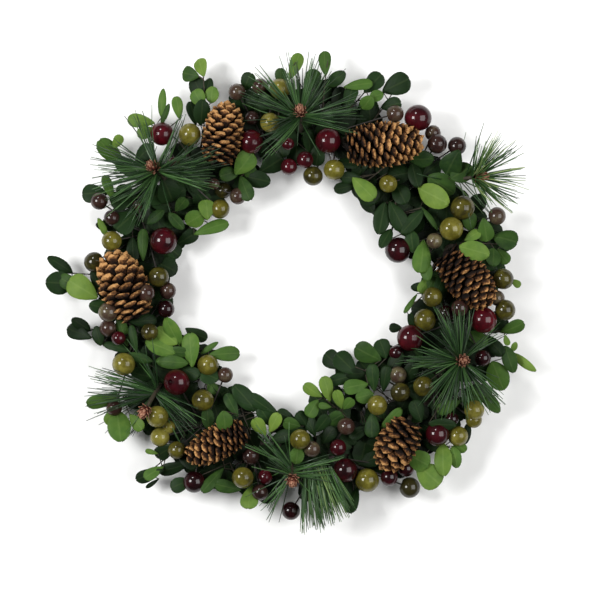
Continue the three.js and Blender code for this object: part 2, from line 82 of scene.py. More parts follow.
# Camera straight above the face, far off so that the plan keeps its proportions
view = {"middle": (300, 300), "distance": 2.7, "level": 0.03, "lens": 180}
lens = bpy.data.cameras.new("cameraLens")
lens.lens = view["lens"]
camera = addItem("camera", lens)
camera.location = onPlan(*view["middle"], view["level"] + view["distance"])
bpy.context.scene.camera = camera

# Three softboxes: a small bright one at the left, a wide one at the right and a weak one past the top
lamps = {
    "leftBox": {"place": (-1.05, 0.16, 1.22), "size": 0.6, "power": 26},
    "rightBox": {"place": (1.02, 0.04, 1.22), "size": 1.2, "power": 25},
    "topBox": {"place": (-0.5, 1.4, 1.3), "size": 0.35, "power": 11},
}
for name, lamp in lamps.items():
    light = bpy.data.lights.new(name, "AREA")
    light.size = lamp["size"]
    light.energy = lamp["power"]
    item = addItem(name, light)
    item.location = lamp["place"]
    item.rotation_euler = (-Vector(lamp["place"])).to_track_quat("-Z", "Y").to_euler()
bpy.context.scene.view_settings.view_transform = "Standard"


# Materials
def toLinear(colour):
    parts = [int(colour[i:i + 2], 16) / 255 for i in (1, 3, 5)]
    return tuple(p / 12.92 if p <= 0.04045 else ((p + 0.055) / 1.055) ** 2.4 for p in parts) + (1.0,)


def addNode(tree, kind, inputs=None, stops=(), **settings):
    node = tree.nodes.new("ShaderNode" + kind)
    for name, value in settings.items():
        setattr(node, name, value)
    for name, value in (inputs or {}).items():
        if isinstance(value, bpy.types.Node):  # a node stands for its first output
            value = value.outputs[0]
        if isinstance(value, bpy.types.NodeSocket):
            tree.links.new(value, node.inputs[name])
        else:
            node.inputs[name].default_value = value
    if stops:
        elements = node.color_ramp.elements
        while len(elements) < len(stops):
            elements.new(0.5)
        for element, (place, colour) in zip(elements, stops):
            element.position = place
            element.color = toLinear(colour)
    return node


def newMaterial(name, **values):
    material = bpy.data.materials.new(name)
    material.use_nodes = True
    shader = material.node_tree.nodes["Principled BSDF"]
    for socket, value in values.items():
        shader.inputs[socket.replace("_", " ")].default_value = value
    return material, functools.partial(addNode, material.node_tree)


def closeMaterial(material, colour, height=None, strength=0.8, depth=0.0):  # depth of the relief in metres
    tree = material.node_tree
    shader = tree.nodes["Principled BSDF"]
    tree.links.new(colour, shader.inputs["Base Color"])
    if height:
        bump = addNode(tree, "Bump", {"Height": height, "Strength": strength, "Distance": depth})
        tree.links.new(bump.outputs["Normal"], shader.inputs["Normal"])
    return material


def waxyLeaf():
    # Box leaves kept soft with glycerine: smooth waxy upper side, pale midrib, faint side veins
    look = {
        "stops": ((0.0, "#081006"), (0.3, "#1a2e14"), (0.62, "#3f5b24"), (1.0, "#748a3a")), "rib": "#93a565",
        "ribEdge": (0.02, 0.06), "ribPaleness": (0.09, 0.01), "veins": 44.0, "veinSlope": -0.7,
        "veinRelief": 0.25, "patches": 130.0, "patchShare": 0.22, "relief": 0.0003,
    }
    material, add = newMaterial("waxyLeaf", Roughness=0.48, Specular_IOR_Level=0.08)
    tone = add("Attribute", attribute_name="tone").outputs["Fac"]
    place = add("TexCoord").outputs
    patches = add("TexNoise", {"Vector": place["Object"], "Scale": look["patches"], "Detail": 3.0})
    share = look["patchShare"]
    lifted = add("Math", {0: patches, 1: share, 2: -share / 2}, operation="MULTIPLY_ADD")
    mixed = add("Math", {0: tone, 1: lifted}, operation="ADD")
    colour = add("ValToRGB", {"Fac": mixed}, look["stops"])
    parts = add("SeparateXYZ", {0: place["UV"]}).outputs
    aside = add("Math", {0: parts["X"], 1: 0.5}, operation="SUBTRACT")
    offRib = add("Math", {0: aside}, operation="ABSOLUTE")
    edge, end = look["ribEdge"]
    rib = add("MapRange", {"Value": offRib, "From Min": edge, "From Max": end, "To Min": 1.0, "To Max": 0.0},
              interpolation_type="SMOOTHSTEP")
    slope = add("Math", {0: offRib, 1: look["veinSlope"], 2: parts["Y"]}, operation="MULTIPLY_ADD")
    comb = add("Math", {0: slope, 1: look["veins"]}, operation="MULTIPLY")  # seven pairs of veins
    veins = add("Math", {0: comb}, operation="SINE")
    most, least = look["ribPaleness"]  # dark leaves hardly show their rib
    paleness = add("Math", {0: tone, 1: most, 2: least}, operation="MULTIPLY_ADD")
    ribShare = add("Math", {0: rib, 1: paleness}, operation="MULTIPLY")
    ribbed = add("Mix", {0: ribShare, 6: colour, 7: toLinear(look["rib"])}, data_type="RGBA")
    relief = add("Math", {0: veins, 1: look["veinRelief"], 2: rib}, operation="MULTIPLY_ADD")
    return closeMaterial(material, ribbed.outputs[2], relief, 0.3, look["relief"])


def pineNeedle():
    # Pine needles: stiff, half glossy, darker at the sheath, no two of one shade
    look = {"stops": ((0.0, "#0e1e0d"), (0.45, "#213c1c"), (0.85, "#436433"), (1.0, "#7f9158")),
            "sheath": "#20301a", "sheathEnd": 0.2, "sheathShare": 0.55}
    material, add = newMaterial("pineNeedle", Roughness=0.4, Specular_IOR_Level=0.3)
    tone = add("Attribute", attribute_name="tone").outputs["Fac"]
    along = add("Attribute", attribute_name="along").outputs["Fac"]
    colour = add("ValToRGB", {"Fac": tone}, look["stops"])
    sheath = add("MapRange", {"Value": along, "From Max": look["sheathEnd"], "To Min": look["sheathShare"],
                              "To Max": 0.0})
    mixed = add("Mix", {0: sheath, 6: colour, 7: toLinear(look["sheath"])}, data_type="RGBA")
    return closeMaterial(material, mixed.outputs[2])


def lacqueredBerry(name, stops, grain):
    # Moulded craft berries: mottled paint under a thick clear lacquer that mirrors the lamps
    material, add = newMaterial(name, Roughness=0.5, Specular_IOR_Level=0.05, Coat_Weight=0.68,
                                Coat_IOR=1.45, Coat_Roughness=0.05)
    tone = add("Attribute", attribute_name="tone").outputs["Fac"]
    place = add("TexCoord").outputs["Object"]
    clouds = add("TexNoise", {"Vector": place, "Scale": grain, "Detail": 5.0, "Roughness": 0.62})
    spread = add("Math", {0: clouds, 1: 1.5, 2: -0.75}, operation="MULTIPLY_ADD")
    mixed = add("Math", {0: tone, 1: spread}, operation="ADD")
    colour = add("ValToRGB", {"Fac": mixed}, stops)
    return closeMaterial(material, colour.outputs["Color"])


def woodyScale(name, stops, grain):
    # Cone and bud scales: pale weathered ends, dark towards the core, no two of one shade. On the cone
    # scales the dark towards the core is partly painted shade in the gaps, where the core goes near black,
    # and the lighter rim towards the tip is painted light
    material, add = newMaterial(name, Roughness=0.8, Specular_IOR_Level=0.15)
    tone = add("Attribute", attribute_name="tone").outputs["Fac"]
    along = add("Attribute", attribute_name="along").outputs["Fac"]
    place = add("TexCoord").outputs["Object"]
    streaks = add("TexNoise", {"Vector": place, "Scale": grain, "Detail": 5.0})
    spread = add("Math", {0: streaks, 1: 1.15, 2: -0.58}, operation="MULTIPLY_ADD")
    shade = add("Math", {0: tone, 1: 0.4, 2: spread}, operation="MULTIPLY_ADD")
    mixed = add("Math", {0: along, 1: shade}, operation="ADD")
    colour = add("ValToRGB", {"Fac": mixed}, stops)
    return closeMaterial(material, colour.outputs["Color"], streaks, 1.0, 0.0009)


def grainedSurface(name, stops, noise, relief=0.0, **values):  # one pattern gives the shades and the relief
    material, add = newMaterial(name, **values)
    place = add("TexCoord").outputs["Object"]
    grain = add("TexNoise", {"Vector": place, **noise})
    colour = add("ValToRGB", {"Fac": grain}, stops)
    return closeMaterial(material, colour.outputs["Color"], grain if relief else None, depth=relief)


def barkOf(name, stops, grain, relief, roughness):
    # Bark: dull and fibrous, darker in the cracks
    noise = {"Scale": grain, "Detail": 6.0, "Distortion": 0.6}
    return grainedSurface(name, stops, noise, relief, Roughness=roughness)


def enamelledWire():
    # Florist's wire: steel in thin green enamel, wearing to a duller green
    stops, noise = ((0.35, "#22392a"), (0.7, "#3a5a40")), {"Scale": 300.0, "Detail": 4.0}
    return grainedSurface("enamelledWire", stops, noise, Roughness=0.32, Coat_Weight=0.5, Coat_Roughness=0.1)


# Each grain is 1000 over the size of its pattern in mm: 90 is paint clouds of 11 mm, 500 is fibres of 2 mm
finishes = {
    "leaf": waxyLeaf(),
    "needle": pineNeedle(),
    "wine": lacqueredBerry("wineLacquer", ((0.0, "#140204"), (0.5, "#38060e"), (1.0, "#600e1a")), 90.0),
    "olive": lacqueredBerry("oliveLacquer", ((0.0, "#26230d"), (0.5, "#514c17"), (1.0, "#7a7434")), 110.0),
    "brown": lacqueredBerry(
        "brownLacquer", ((0.0, "#190c0b"), (0.45, "#33201b"), (0.75, "#41362a"), (1.0, "#5a543a")), 130.0),
    "stemBark": barkOf("sprigBark", ((0.3, "#1a140d"), (0.7, "#38301d")), 420.0, 0.0003, 0.7),
    "wrap": barkOf("stemWrap", ((0.3, "#110d0a"), (0.7, "#281f18")), 500.0, 0.0002, 0.55),
    "vine": barkOf("vineBark", ((0.25, "#17110c"), (0.55, "#2e2219"), (0.8, "#4a3a2c")), 260.0, 0.0008, 0.85),
    "cone": woodyScale(
        "coneScale", ((0.2, "#0a0503"), (0.52, "#2d1a0d"), (0.8, "#6b4726"), (1.0, "#ab8050")), 520.0),
    "bud": woodyScale("budScale", ((0.1, "#26100b"), (0.6, "#5c2c1f"), (1.0, "#9a705a")), 500.0),
    "wire": enamelledWire(),
}
print("materials ready")


# Small tools for modelling
def selectOnly(*items):
    bpy.ops.object.select_all(action="DESELECT")
    for item in items:
        item.select_set(True)
    bpy.context.view_layer.objects.active = items[0]


def startEdit(name):  # opens the primitive that was just added
    item = bpy.context.object
    item.name = name
    bpy.ops.object.mode_set(mode="EDIT")
    bpy.ops.mesh.select_mode(type="VERT")
    return item


def reshape(test, scale=None, about=(0, 0, 0), move=None):  # scales and moves the points that pass a test
    bpy.ops.mesh.select_all(action="DESELECT")
    shape = bmesh.from_edit_mesh(bpy.context.object.data)
    for vertex in shape.verts:
        vertex.select = test(vertex.co)
    shape.select_flush_mode()
    bmesh.update_edit_mesh(bpy.context.object.data)
    if scale:
        bpy.ops.transform.resize(value=scale, center_override=about)
    if move:
        bpy.ops.transform.translate(value=move)


def closeEdit(angle):
    bpy.ops.mesh.select_all(action="SELECT")
    bpy.ops.mesh.normals_make_consistent(inside=False)
    bpy.ops.object.mode_set(mode="OBJECT")
    bpy.ops.object.shade_smooth_by_angle(angle=math.radians(angle))


def addWall(item, thickness, offset, angle):
    bpy.ops.object.mode_set(mode="OBJECT")
    wall = item.modifiers.new("wall", "SOLIDIFY")
    wall.thickness = thickness
    wall.offset = offset
    bpy.ops.object.modifier_apply(modifier="wall")
    bpy.ops.object.shade_smooth_by_angle(angle=math.radians(angle))


def setFinish(item, finish, measure=None):  # measure says how far along its shape a point is, from 0 to 1
    item.data.materials.append(finishes[finish])
    if measure:
        mark = item.data.attributes.new("along", "FLOAT", "POINT")
        mark.data.foreach_set("value", [min(max(measure(v.co), 0.0), 1.0) for v in item.data.vertices])
    return item


def layCopy(template, middle, axes, tone=0.0, curl=0.0):  # axes are where the template's x, y and z go
    mesh = template.data.copy()
    if curl:
        for vertex in mesh.vertices:
            vertex.co.z -= curl * (vertex.co.y + 0.2) ** 2
    mesh.transform(Matrix.Translation(middle) @ Matrix(axes).transposed().to_4x4())
    mark = mesh.attributes.new("tone", "FLOAT", "POINT")
    mark.data.foreach_set("value", [tone] * len(mesh.vertices))
    return addItem(template.name, mesh)


def makeTubes(name, paths, finish, roundness=1):  # a path, its two radii, and True where it is closed
    shape = bpy.data.curves.new(name, "CURVE")
    shape.dimensions = "3D"
    shape.bevel_depth = 0.001  # the points' radii count in mm
    shape.bevel_resolution = roundness
    shape.use_fill_caps = True
    for path, thick, thin, *closed in paths:
        line = shape.splines.new("POLY")
        line.points.add(len(path) - 1)
        line.use_cyclic_u = bool(closed)
        for i, (point, place) in enumerate(zip(line.points, path)):
            point.co = (*place, 1.0)
            point.radius = 1000 * (thick + (thin - thick) * i / (len(path) - 1))
    selectOnly(addItem(name, shape))
    bpy.ops.object.convert(target="MESH")
    bpy.ops.object.shade_smooth()
    return setFinish(bpy.context.object, finish)


def setPiece(name, parts, slot, *nodes):
    selectOnly(*parts)
    if len(parts) > 1:
        bpy.ops.object.join()
    piece = bpy.context.object
    piece.name = name
    piece.data.name = name
    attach(piece, "root")
    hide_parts(*nodes)


def clearAway(templates):
    for template in templates:
        bpy.data.objects.remove(template)


# The vine ring that everything is wired to, with two loops of thinner vine that stand in from it
ring = {
    "radius": 0.1485, "height": 0.0075, "envelope": 0.0089, "gap": 0.0006, "twists": 4,
    "phase": -math.pi / 18, "strand": 0.0038, "offset": 0.00479, "wire": 0.0006, "wireOffset": 0.0056,
    "steps": 180, "knots": 0.0005,
    "loops": (((152, 250), (181, 288), (158, 334)), ((437, 262), (416, 300), (436, 338))),
    "loopEnd": 0.002, "loopHeight": 0.012, "loopVine": (0.0017, 0.0014),
}
ringMiddle = onPlan(*plan["ringMiddle"])
ringTop = ring["height"] + ring["envelope"]


def offRing(point):
    return apart(point, ringMiddle) - ring["radius"]


def onRing(across, down, radius):
    point = onPlan(across, down)
    off = min(abs(offRing(point)), ring["envelope"])
    point.z = ring["height"] + math.sqrt(ring["envelope"] ** 2 - off ** 2) + radius + ring["gap"]
    return point


def aroundRing(degrees, offset, height):
    angle = math.radians(degrees)
    reach = ring["radius"] + offset
    return ringMiddle + Vector((reach * math.cos(angle), reach * math.sin(angle), height))


def domeOver(point, foot, rise, reach, limit):  # a usual height: most over the ring, and low beside it
    off = min(abs(offRing(point)), limit)
    return foot + rise * math.sqrt(1 - (off / reach) ** 2)


def strandPath(offset, phase, roughness, draw):
    places = []
    for step in range(ring["steps"]):
        angle = 360 * step / ring["steps"]
        twist = ring["twists"] * math.radians(angle) + phase
        rough = sway(draw, roughness)
        height = max(ring["height"] + offset * math.sin(twist) + rough / 2, ring["strand"])
        places.append(aroundRing(angle, offset * math.cos(twist) + rough, height))
    return places


def makeRing():
    draw = random.Random(3)
    for k in range(3):
        path = strandPath(ring["offset"], ring["phase"] + 2 * math.pi * k / 3, ring["knots"] / 2, draw)
        paths = [(path, ring["strand"], ring["strand"], True)]
        for start, bend, end in ring["loops"] if k == 0 else ():
            first, last = (onRing(*place, ring["loopEnd"]) for place in (start, end))
            loop = onCurve(first, onPlan(*bend, ring["loopHeight"]), last, 16)
            paths.append((loop, *ring["loopVine"]))
        setPiece(f"vineStrand_{k + 1}", [makeTubes("strand", paths, "vine", 2)], "vine", f"vine_{k + 1}")
    path = strandPath(ring["wireOffset"], ring["phase"] + math.pi / 3, 0, draw)
    wire = makeTubes("wire", [(path, ring["wire"], ring["wire"], True)], "wire")
    setPiece("bindingWire", [wire], "wire", "binding_wire")


makeRing()
print("vine ring done")

# Pine cones: stalk end, tip and width on the plan, their shade, and the size of their scales
cones = {
    "cone_1": ((217, 167), (229, 103), 38, 0.0, 0.95), "cone_2": ((343, 148), (423, 142), 43, -0.05, 1.0),
    "cone_3": ((139, 320), (110, 252), 46, 0.05, 1.25), "cone_4": ((443, 250), (489, 306), 42, -0.55, 0.95),
    "cone_5": ((248, 427), (187, 458), 33, -0.24, 0.9), "cone_6": ((410, 419), (383, 469), 39, -0.15, 1.1),
}
# Pairs run from the stalk end to the tip. The core's values are its shares of the cone's radius and length
# and where its middle is. A scale's size is the least and what its place adds. Its spreads are those of its
# lean in degrees, and of its turn round the cone and its tilt in radians.
coneForm = {
    "height": 0.041, "baseDrop": 0.003, "tipRise": 0.001, "widest": 0.5, "core": (0.5, 0.46, 0.47),
    "covered": (0.05, 0.998), "leastRound": 0.3, "scaleWidth": 0.0102, "scaleHeight": (0.0028, 0.0056),
    "scaleDepth": 0.0118, "sink": 0.3, "closeness": (1.85, 1.25), "sizes": (0.52, 0.48),
    # paintedShadeToStalk is painted shade: how far the tone drops towards the stalk and rises towards the tip
    "sizeSpread": (0.93, 1.07), "lean": (-18, 70), "spreads": (11, 0.09, 0.22), "paintedShadeToStalk": 1.15,
    "evenTone": 0.55, "stalk": (0.0024, 0.0021), "stalkOver": 0.0022, "stalkBend": 0.006,
    "stalkHeight": 0.026, "stalkInside": 0.012,
}
goldenTurn = math.pi * (3 - math.sqrt(5))


def modelConeScale(seed):
    bpy.ops.mesh.primitive_uv_sphere_add(segments=10, ring_count=7, radius=0.5)
    scale = startEdit("coneScale")
    reshape(lambda p: p.z < -0.1, (0.55, 0.4, 1), move=(0, -0.1, -0.45))  # the neck that runs in to the core
    reshape(lambda p: 0.2 < p.z < 0.4, (1.38, 1.3, 1), move=(0, 0, -0.05))  # the crisp rim of the flat end
    reshape(lambda p: p.z > 0.4, (1.35, 1.2, 0.4), (0, 0, 0.3))
    reshape(lambda p: abs(p.y) < 0.03 and p.z > 0.1, move=(0, 0.04, 0.06))  # the ridge across the end
    reshape(lambda p: p.z > 0.4, move=(0, 0.05, 0.07))  # the small boss in the middle
    bpy.ops.mesh.select_all(action="SELECT")
    bpy.ops.transform.vertex_random(offset=0.11, seed=seed)
    closeEdit(28)
    # The measure paints light and shade: it goes darker down the neck towards the core, partly the scale's
    # own darker inner wood and partly painted shade in the gaps, and lighter on the rim that faces the cone's
    # tip, which is painted light
    return setFinish(scale, "cone", lambda p: 0.14 + 1.5 * p.z + 0.6 * p.y)


def modelCore(name, finish):
    bpy.ops.mesh.primitive_uv_sphere_add(segments=12, ring_count=10, radius=1)
    core = startEdit(name)
    reshape(lambda p: p.z > 0.2, (0.86, 0.86, 1), (0, 0, 0.2))
    closeEdit(80)
    return setFinish(core, finish, lambda p: 0.0)


def coneRound(share):
    widest = coneForm["widest"]
    reach = (widest - share) / (widest + 0.06) if share < widest else (share - widest) / (1.006 - widest)
    return math.sqrt(max(1 - reach * reach, 0.0))


def axesAlong(way):
    across = Vector((0, 0, 1)).cross(way)
    if across.length < 0.1:
        across = Vector((1, 0, 0))
    across.normalize()
    return across, way.cross(across).normalized()


def turned(axes, angle):  # the direction at an angle from the first axis towards the second
    return axes[0] * math.cos(angle) + axes[1] * math.sin(angle)


def makeCones():
    scales, core = [modelConeScale(seed) for seed in (1, 4, 6)], modelCore("coneCore", "cone")
    draw, form = random.Random(7), coneForm
    wide, deep, (slender, half, middle) = form["scaleWidth"], form["scaleDepth"], form["core"]
    (least, more), (leanSpread, turnSpread, tiltSpread) = form["sizes"], form["spreads"]
    for name, (base, tip, width, shade, scaleSize) in cones.items():
        start = onPlan(*base, form["height"] - form["baseDrop"])
        end = onPlan(*tip, form["height"] + form["tipRise"])
        way, length = (end - start).normalized(), (end - start).length
        axes = axesAlong(way)
        reach = width * plan["unit"] / 2
        body = [axis * reach * slender for axis in axes] + [way * length * half]
        parts = [layCopy(core, start + way * length * middle, body)]
        count, (share, last) = 0, form["covered"]
        while share < last:
            fullness = max(coneRound(share), form["leastRound"])
            size = scaleSize * (least + more * fullness) * draw.uniform(*form["sizeSpread"])
            lean = math.radians(between(form["lean"], share) + sway(draw, leanSpread))
            radial = turned(axes, count * goldenTurn + sway(draw, turnSpread))
            outward, forward = turned((radial, way), lean), turned((way, -radial), lean)
            side = forward.cross(outward)
            tilt = sway(draw, tiltSpread)
            forward, side = turned((forward, side), tilt), turned((side, -forward), tilt)
            surface = start + way * length * share + radial * reach * coneRound(share)
            height, close = between(form["scaleHeight"], share), between(form["closeness"], share)
            facing = (side * wide * size, forward * height * size, outward * deep * size)
            scale = draw.choice(scales)
            # painted shade on the stalk half of the cone and painted light on its tip half
            tone = draw.random() + shade + form["paintedShadeToStalk"] * (share - form["evenTone"])
            parts.append(layCopy(scale, surface - outward * form["sink"] * deep * size, facing, tone))
            tile = wide * height * size ** 2 * close
            share += tile / (2 * math.pi * reach * fullness * length)
            count += 1
        foot = ringMiddle + heading(ringMiddle, start) * ring["radius"]
        foot.z = ringTop + form["stalkOver"]
        bend = start - way * form["stalkBend"]
        bend.z = form["stalkHeight"]
        stalk = onCurve(foot, bend, start + way * form["stalkInside"], 8)
        parts.append(makeTubes("coneStalk", [(stalk, *form["stalk"])], "stemBark"))
        setPiece(f"pineCone_{name[-1]}", parts, "cone", name)
    clearAway(scales + [core])


makeCones()
print("pine cones done")

# Pine sprays: root and bud on the plan, the bud's height, how far the needles reach, how many degrees they
# spread from the shoot, and between which degrees round the bud they are thin. A curtain is the two ends of
# a side shoot whose needles hang down. A spray's own value goes before the one in needleForm.
sprays = [
    {"root": (301, 130), "bud": (300, 116), "top": 0.054, "reach": 0.057, "spread": (36, 97),
     "thin": ((25, 50), (166, 194), (228, 332))},
    {"root": (170, 184), "bud": (157, 171), "top": 0.052, "reach": 0.062, "spread": (32, 100),
     "thin": ((30, 42), (112, 150), (215, 232), (290, 336)), "count": 400},
    {"root": (440, 181), "bud": (474, 178), "top": 0.047, "reach": 0.061, "spread": (26, 86),
     "thin": ((88, 282),), "paleAndLit": 0.28, "whorl": (1.0, 0.35), "count": 720, "tipShare": 0.8, "bare": 0.98},
    {"root": (455, 361), "bud": (460, 360), "top": 0.054, "reach": 0.054, "spread": (36, 98),
     "thin": ((0, 26), (150, 158), (205, 225), (330, 345))},
    {"root": (291, 460), "bud": (292, 475), "top": 0.049, "reach": 0.050, "spread": (42, 97),
     "thin": ((24, 122), (168, 204), (246, 352)), "paleAndLit": 0.05, "whorl": (0.98, 0.35),
     "curtain": ((303, 471), (332, 471))},
    {"root": (160, 385), "bud": (148, 406), "top": 0.051, "reach": 0.062, "spread": (42, 100),
     "thin": ((0, 152), (212, 224), (245, 296), (332, 360)), "whorl": (0.5, 0.1), "count": 440},
]
needleForm = {
    # how many there are, between which shares of the shoot, how much lighter than usual, which is partly a
    # yellower green and partly painted light, what share is left out where they are thin, and how long the
    # young ones at the tip are
    "count": 290, "whorl": (0.98, 0.62), "paleAndLit": 0.0, "bare": 0.88, "tipShare": 1.0,
    # what all sprays share: spreads in radians, lengths as shares of the reach, radii and heights in metres
    "leanSpread": 0.12, "turnSpread": 0.25, "clumps": 11, "clumping": 0.8, "stray": 0.13,
    "lengths": (0.68, 1.06), "tones": (0, 0.82), "radius": 0.00055, "radii": (0.85, 1.15), "bow": 0.05,
    "lowest": 0.003, "cleared": 0.97, "shoot": (0.0023, 0.0016), "shootRoot": 0.0024,
    "shootBend": (0.4, 0.62),
}
# The bearings fan out from straight down to the lower right, and the reach shrinks along the side shoot
curtainForm = {"count": 130, "drop": 0.006, "shoot": (0.0012, 0.0007), "bearings": (271, 300), "sway": 8,
               "rise": (-0.25, 0.2), "reach": 1.18, "shrink": 0.3, "lengths": (0.75, 1), "tones": (0.4, 0.95),
               "startDown": (-0.003, 0.006), "startRise": (0, 0.003)}
# Berries and leaves that stand in front of the needles: across, down, radius on the plan
inFront = [
    (162, 134, 11), (190, 135, 9), (251, 142, 9), (300, 439, 9), (312, 449, 8), (338, 447, 7),
    (168, 191, 12), (289, 167, 8), (305, 160, 8), (313, 176, 9), (334, 170, 9), (328, 141, 12),
    (462, 208, 12), (451, 229, 11), (497, 216, 7), (457, 146, 8), (452, 164, 10), (461, 173, 9),
    (433, 196, 15), (483, 320, 12), (410, 338, 10), (425, 320, 10), (482, 358, 9), (474, 410, 6),
    (177, 382, 12), (124, 364, 9), (158, 416, 11), (160, 437, 8), (169, 362, 8), (191, 350, 12),
    (345, 470, 8), (291, 511, 9), (265, 477, 5), (260, 492, 8), (252, 456, 6), (243, 477, 10), (225, 421, 7),
]
budForm = {"length": 0.0062, "radius": 0.0040, "scales": 34, "scaleLength": 0.0056, "scaleWidth": 0.0031,
           "rise": (-55, 70), "lift": (0.15, 0.55), "overlap": 0.001}


def modelNeedle():
    bpy.ops.mesh.primitive_cone_add(vertices=4, radius1=1, radius2=0.5, depth=1)
    needle = startEdit("needle")
    for level in (-0.17, 0.17):  # two rings that the needle bows at and keeps its thickness to
        bpy.ops.mesh.select_all(action="SELECT")
        bpy.ops.mesh.bisect(plane_co=(0, 0, level), plane_no=(0, 0, 1))
    reshape(lambda p: abs(abs(p.z) - 0.17) < 0.02, (1.25, 1.25, 1))
    reshape(lambda p: True, move=(0, 0, 0.5))
    closeEdit(80)
    return setFinish(needle, "needle", lambda p: p.z)


def modelBudScale():
    bpy.ops.mesh.primitive_grid_add(x_subdivisions=2, y_subdivisions=3, size=1)
    scale = startEdit("budScale")
    reshape(lambda p: abs(p.x) < 0.1, move=(0, 0, 0.18))
    for low, wide in ((-0.6, 0.5), (-0.3, 1.0), (0.05, 0.8), (0.4, 0.2)):
        reshape(lambda p: low < p.y < low + 0.3, (wide, 1, 1))
    reshape(lambda p: p.y > 0.4, move=(0, 0, 0.12))
    addWall(scale, 0.08, -1, 50)
    return setFinish(scale, "bud", lambda p: p.y + 0.5)


def shootPath(spray):
    along, rise = needleForm["shootBend"]
    root = onRing(*spray["root"], needleForm["shootRoot"])
    bud = onPlan(*spray["bud"], spray["top"])
    bend = root.lerp(bud, along)
    bend.z = root.z + rise * (bud.z - root.z)
    return onCurve(root, bend, bud, 12)


def isCrossing(start, span):  # whether a needle would lie over something that stands in front
    flat = Vector((span.x, span.y))
    for across, down, radius in inFront:
        spot = onPlan(across, down)
        aim = Vector((spot.x - start.x, spot.y - start.y))
        share = min(max(aim.dot(flat) / flat.length_squared, 0), 1)
        if (aim - flat * share).length < radius * plan["unit"]:
            return True
    return False


def layNeedle(needle, start, way, length, tone, draw):
    side = turned(axesAlong(way), draw.uniform(0, 2 * math.pi))
    thick = needleForm["radius"] * draw.uniform(*needleForm["radii"])
    item = layCopy(needle, start, (side * thick, way.cross(side) * thick, way * length), tone)
    bow = sway(draw, 1) * needleForm["bow"] * length
    for vertex in item.data.vertices:
        t = (vertex.co - start).dot(way) / length
        vertex.co += side * bow * 4 * t * (1 - t)
    return item


def growNeedles(spray, path, needle, draw):
    form, parts = {**needleForm, **spray}, []
    axis = (path[-1] - path[-7]).normalized()
    axes, spread = axesAlong(axis), [math.radians(degrees) for degrees in form["spread"]]
    for n in range(form["count"]):
        share = (n + 0.5) / form["count"]
        start = path[round(between(form["whorl"], share) * (len(path) - 1))]
        lean = between(spread, math.sqrt(share)) + sway(draw, form["leanSpread"])
        turn = n * goldenTurn + sway(draw, form["turnSpread"])
        turn += form["clumping"] / form["clumps"] * math.sin(form["clumps"] * turn)  # drawn into tufts
        way = turned((axis, turned(axes, turn)), lean).normalized()
        way = (way + Vector([sway(draw, 1) for i in range(3)]) * form["stray"]).normalized()
        bearing = math.degrees(math.atan2(way.y, way.x)) % 360
        if any(low < bearing < high for low, high in form["thin"]) and draw.random() < form["bare"]:
            continue
        length = form["reach"] * draw.uniform(*form["lengths"]) * between((form["tipShare"], 1), share)
        if start.z + length * way.z < form["lowest"]:
            continue
        if isCrossing(start, way * length) and draw.random() < form["cleared"]:
            continue
        # the spray's paleness is partly a yellower green and partly painted light on its lit needles
        tone = draw.uniform(*form["tones"]) + form["paleAndLit"]
        parts.append(layNeedle(needle, start, way, length, tone, draw))
    return parts


def hangCurtain(spray, path, needle, draw):
    form = curtainForm
    ends = [onPlan(*place, spray["top"] - form["drop"]) for place in spray["curtain"]]
    parts = [makeTubes("sideShoot", [(onCurve(path[7], *ends, 8), *form["shoot"])], "stemBark")]
    for n in range(form["count"]):
        share = draw.random()
        bearing = math.radians(between(form["bearings"], share) + sway(draw, form["sway"]))
        way = Vector((math.cos(bearing), math.sin(bearing), draw.uniform(*form["rise"]))).normalized()
        length = spray["reach"] * (form["reach"] - form["shrink"] * share) * draw.uniform(*form["lengths"])
        shift = Vector((0, draw.uniform(*form["startDown"]), draw.uniform(*form["startRise"])))
        start = ends[0].lerp(ends[1], share) + shift
        parts.append(layNeedle(needle, start, way, length, draw.uniform(*form["tones"]), draw))
    return parts


def makeBud(path, core, budScale, draw):
    form = budForm
    way = (path[-1] - path[-3]).normalized()
    axes = axesAlong(way)
    middle = path[-1] + way * form["length"]
    parts = [layCopy(core, middle, [axis * form["radius"] for axis in axes] + [way * form["length"]])]
    for n in range(form["scales"]):
        rise = math.radians(between(form["rise"], (n + 0.5) / form["scales"]))
        radial = turned(axes, n * goldenTurn)
        outward = turned((radial, way), rise).normalized()
        forward = turned((way, -radial), rise)
        forward = (forward + outward * draw.uniform(*form["lift"])).normalized()
        side = forward.cross(outward).normalized()
        surface = middle + radial * math.cos(rise) * form["radius"] + way * math.sin(rise) * form["length"]
        wide, long = form["scaleWidth"], form["scaleLength"]
        facing = (side * wide, forward * long, side.cross(forward) * wide)
        parts.append(layCopy(budScale, surface + forward * form["overlap"], facing, draw.random()))
    return parts


def makeSprays():
    needle, budScale, core = modelNeedle(), modelBudScale(), modelCore("budCore", "bud")
    for number, spray in enumerate(sprays, 1):
        draw, path = random.Random(40 + number), shootPath(spray)
        parts = [makeTubes("shoot", [(path, *needleForm["shoot"])], "stemBark")]
        parts += growNeedles(spray, path, needle, draw)
        if "curtain" in spray:
            parts += hangCurtain(spray, path, needle, draw)
        setPiece(f"pineSpray_{number}", parts, "needle", f"pine_spray_{number}")
        setPiece(f"pineBud_{number}", makeBud(path, core, budScale, draw), "bud", f"pine_bud_{number}")
    clearAway((needle, budScale, core))


makeSprays()
print("pine sprays done")

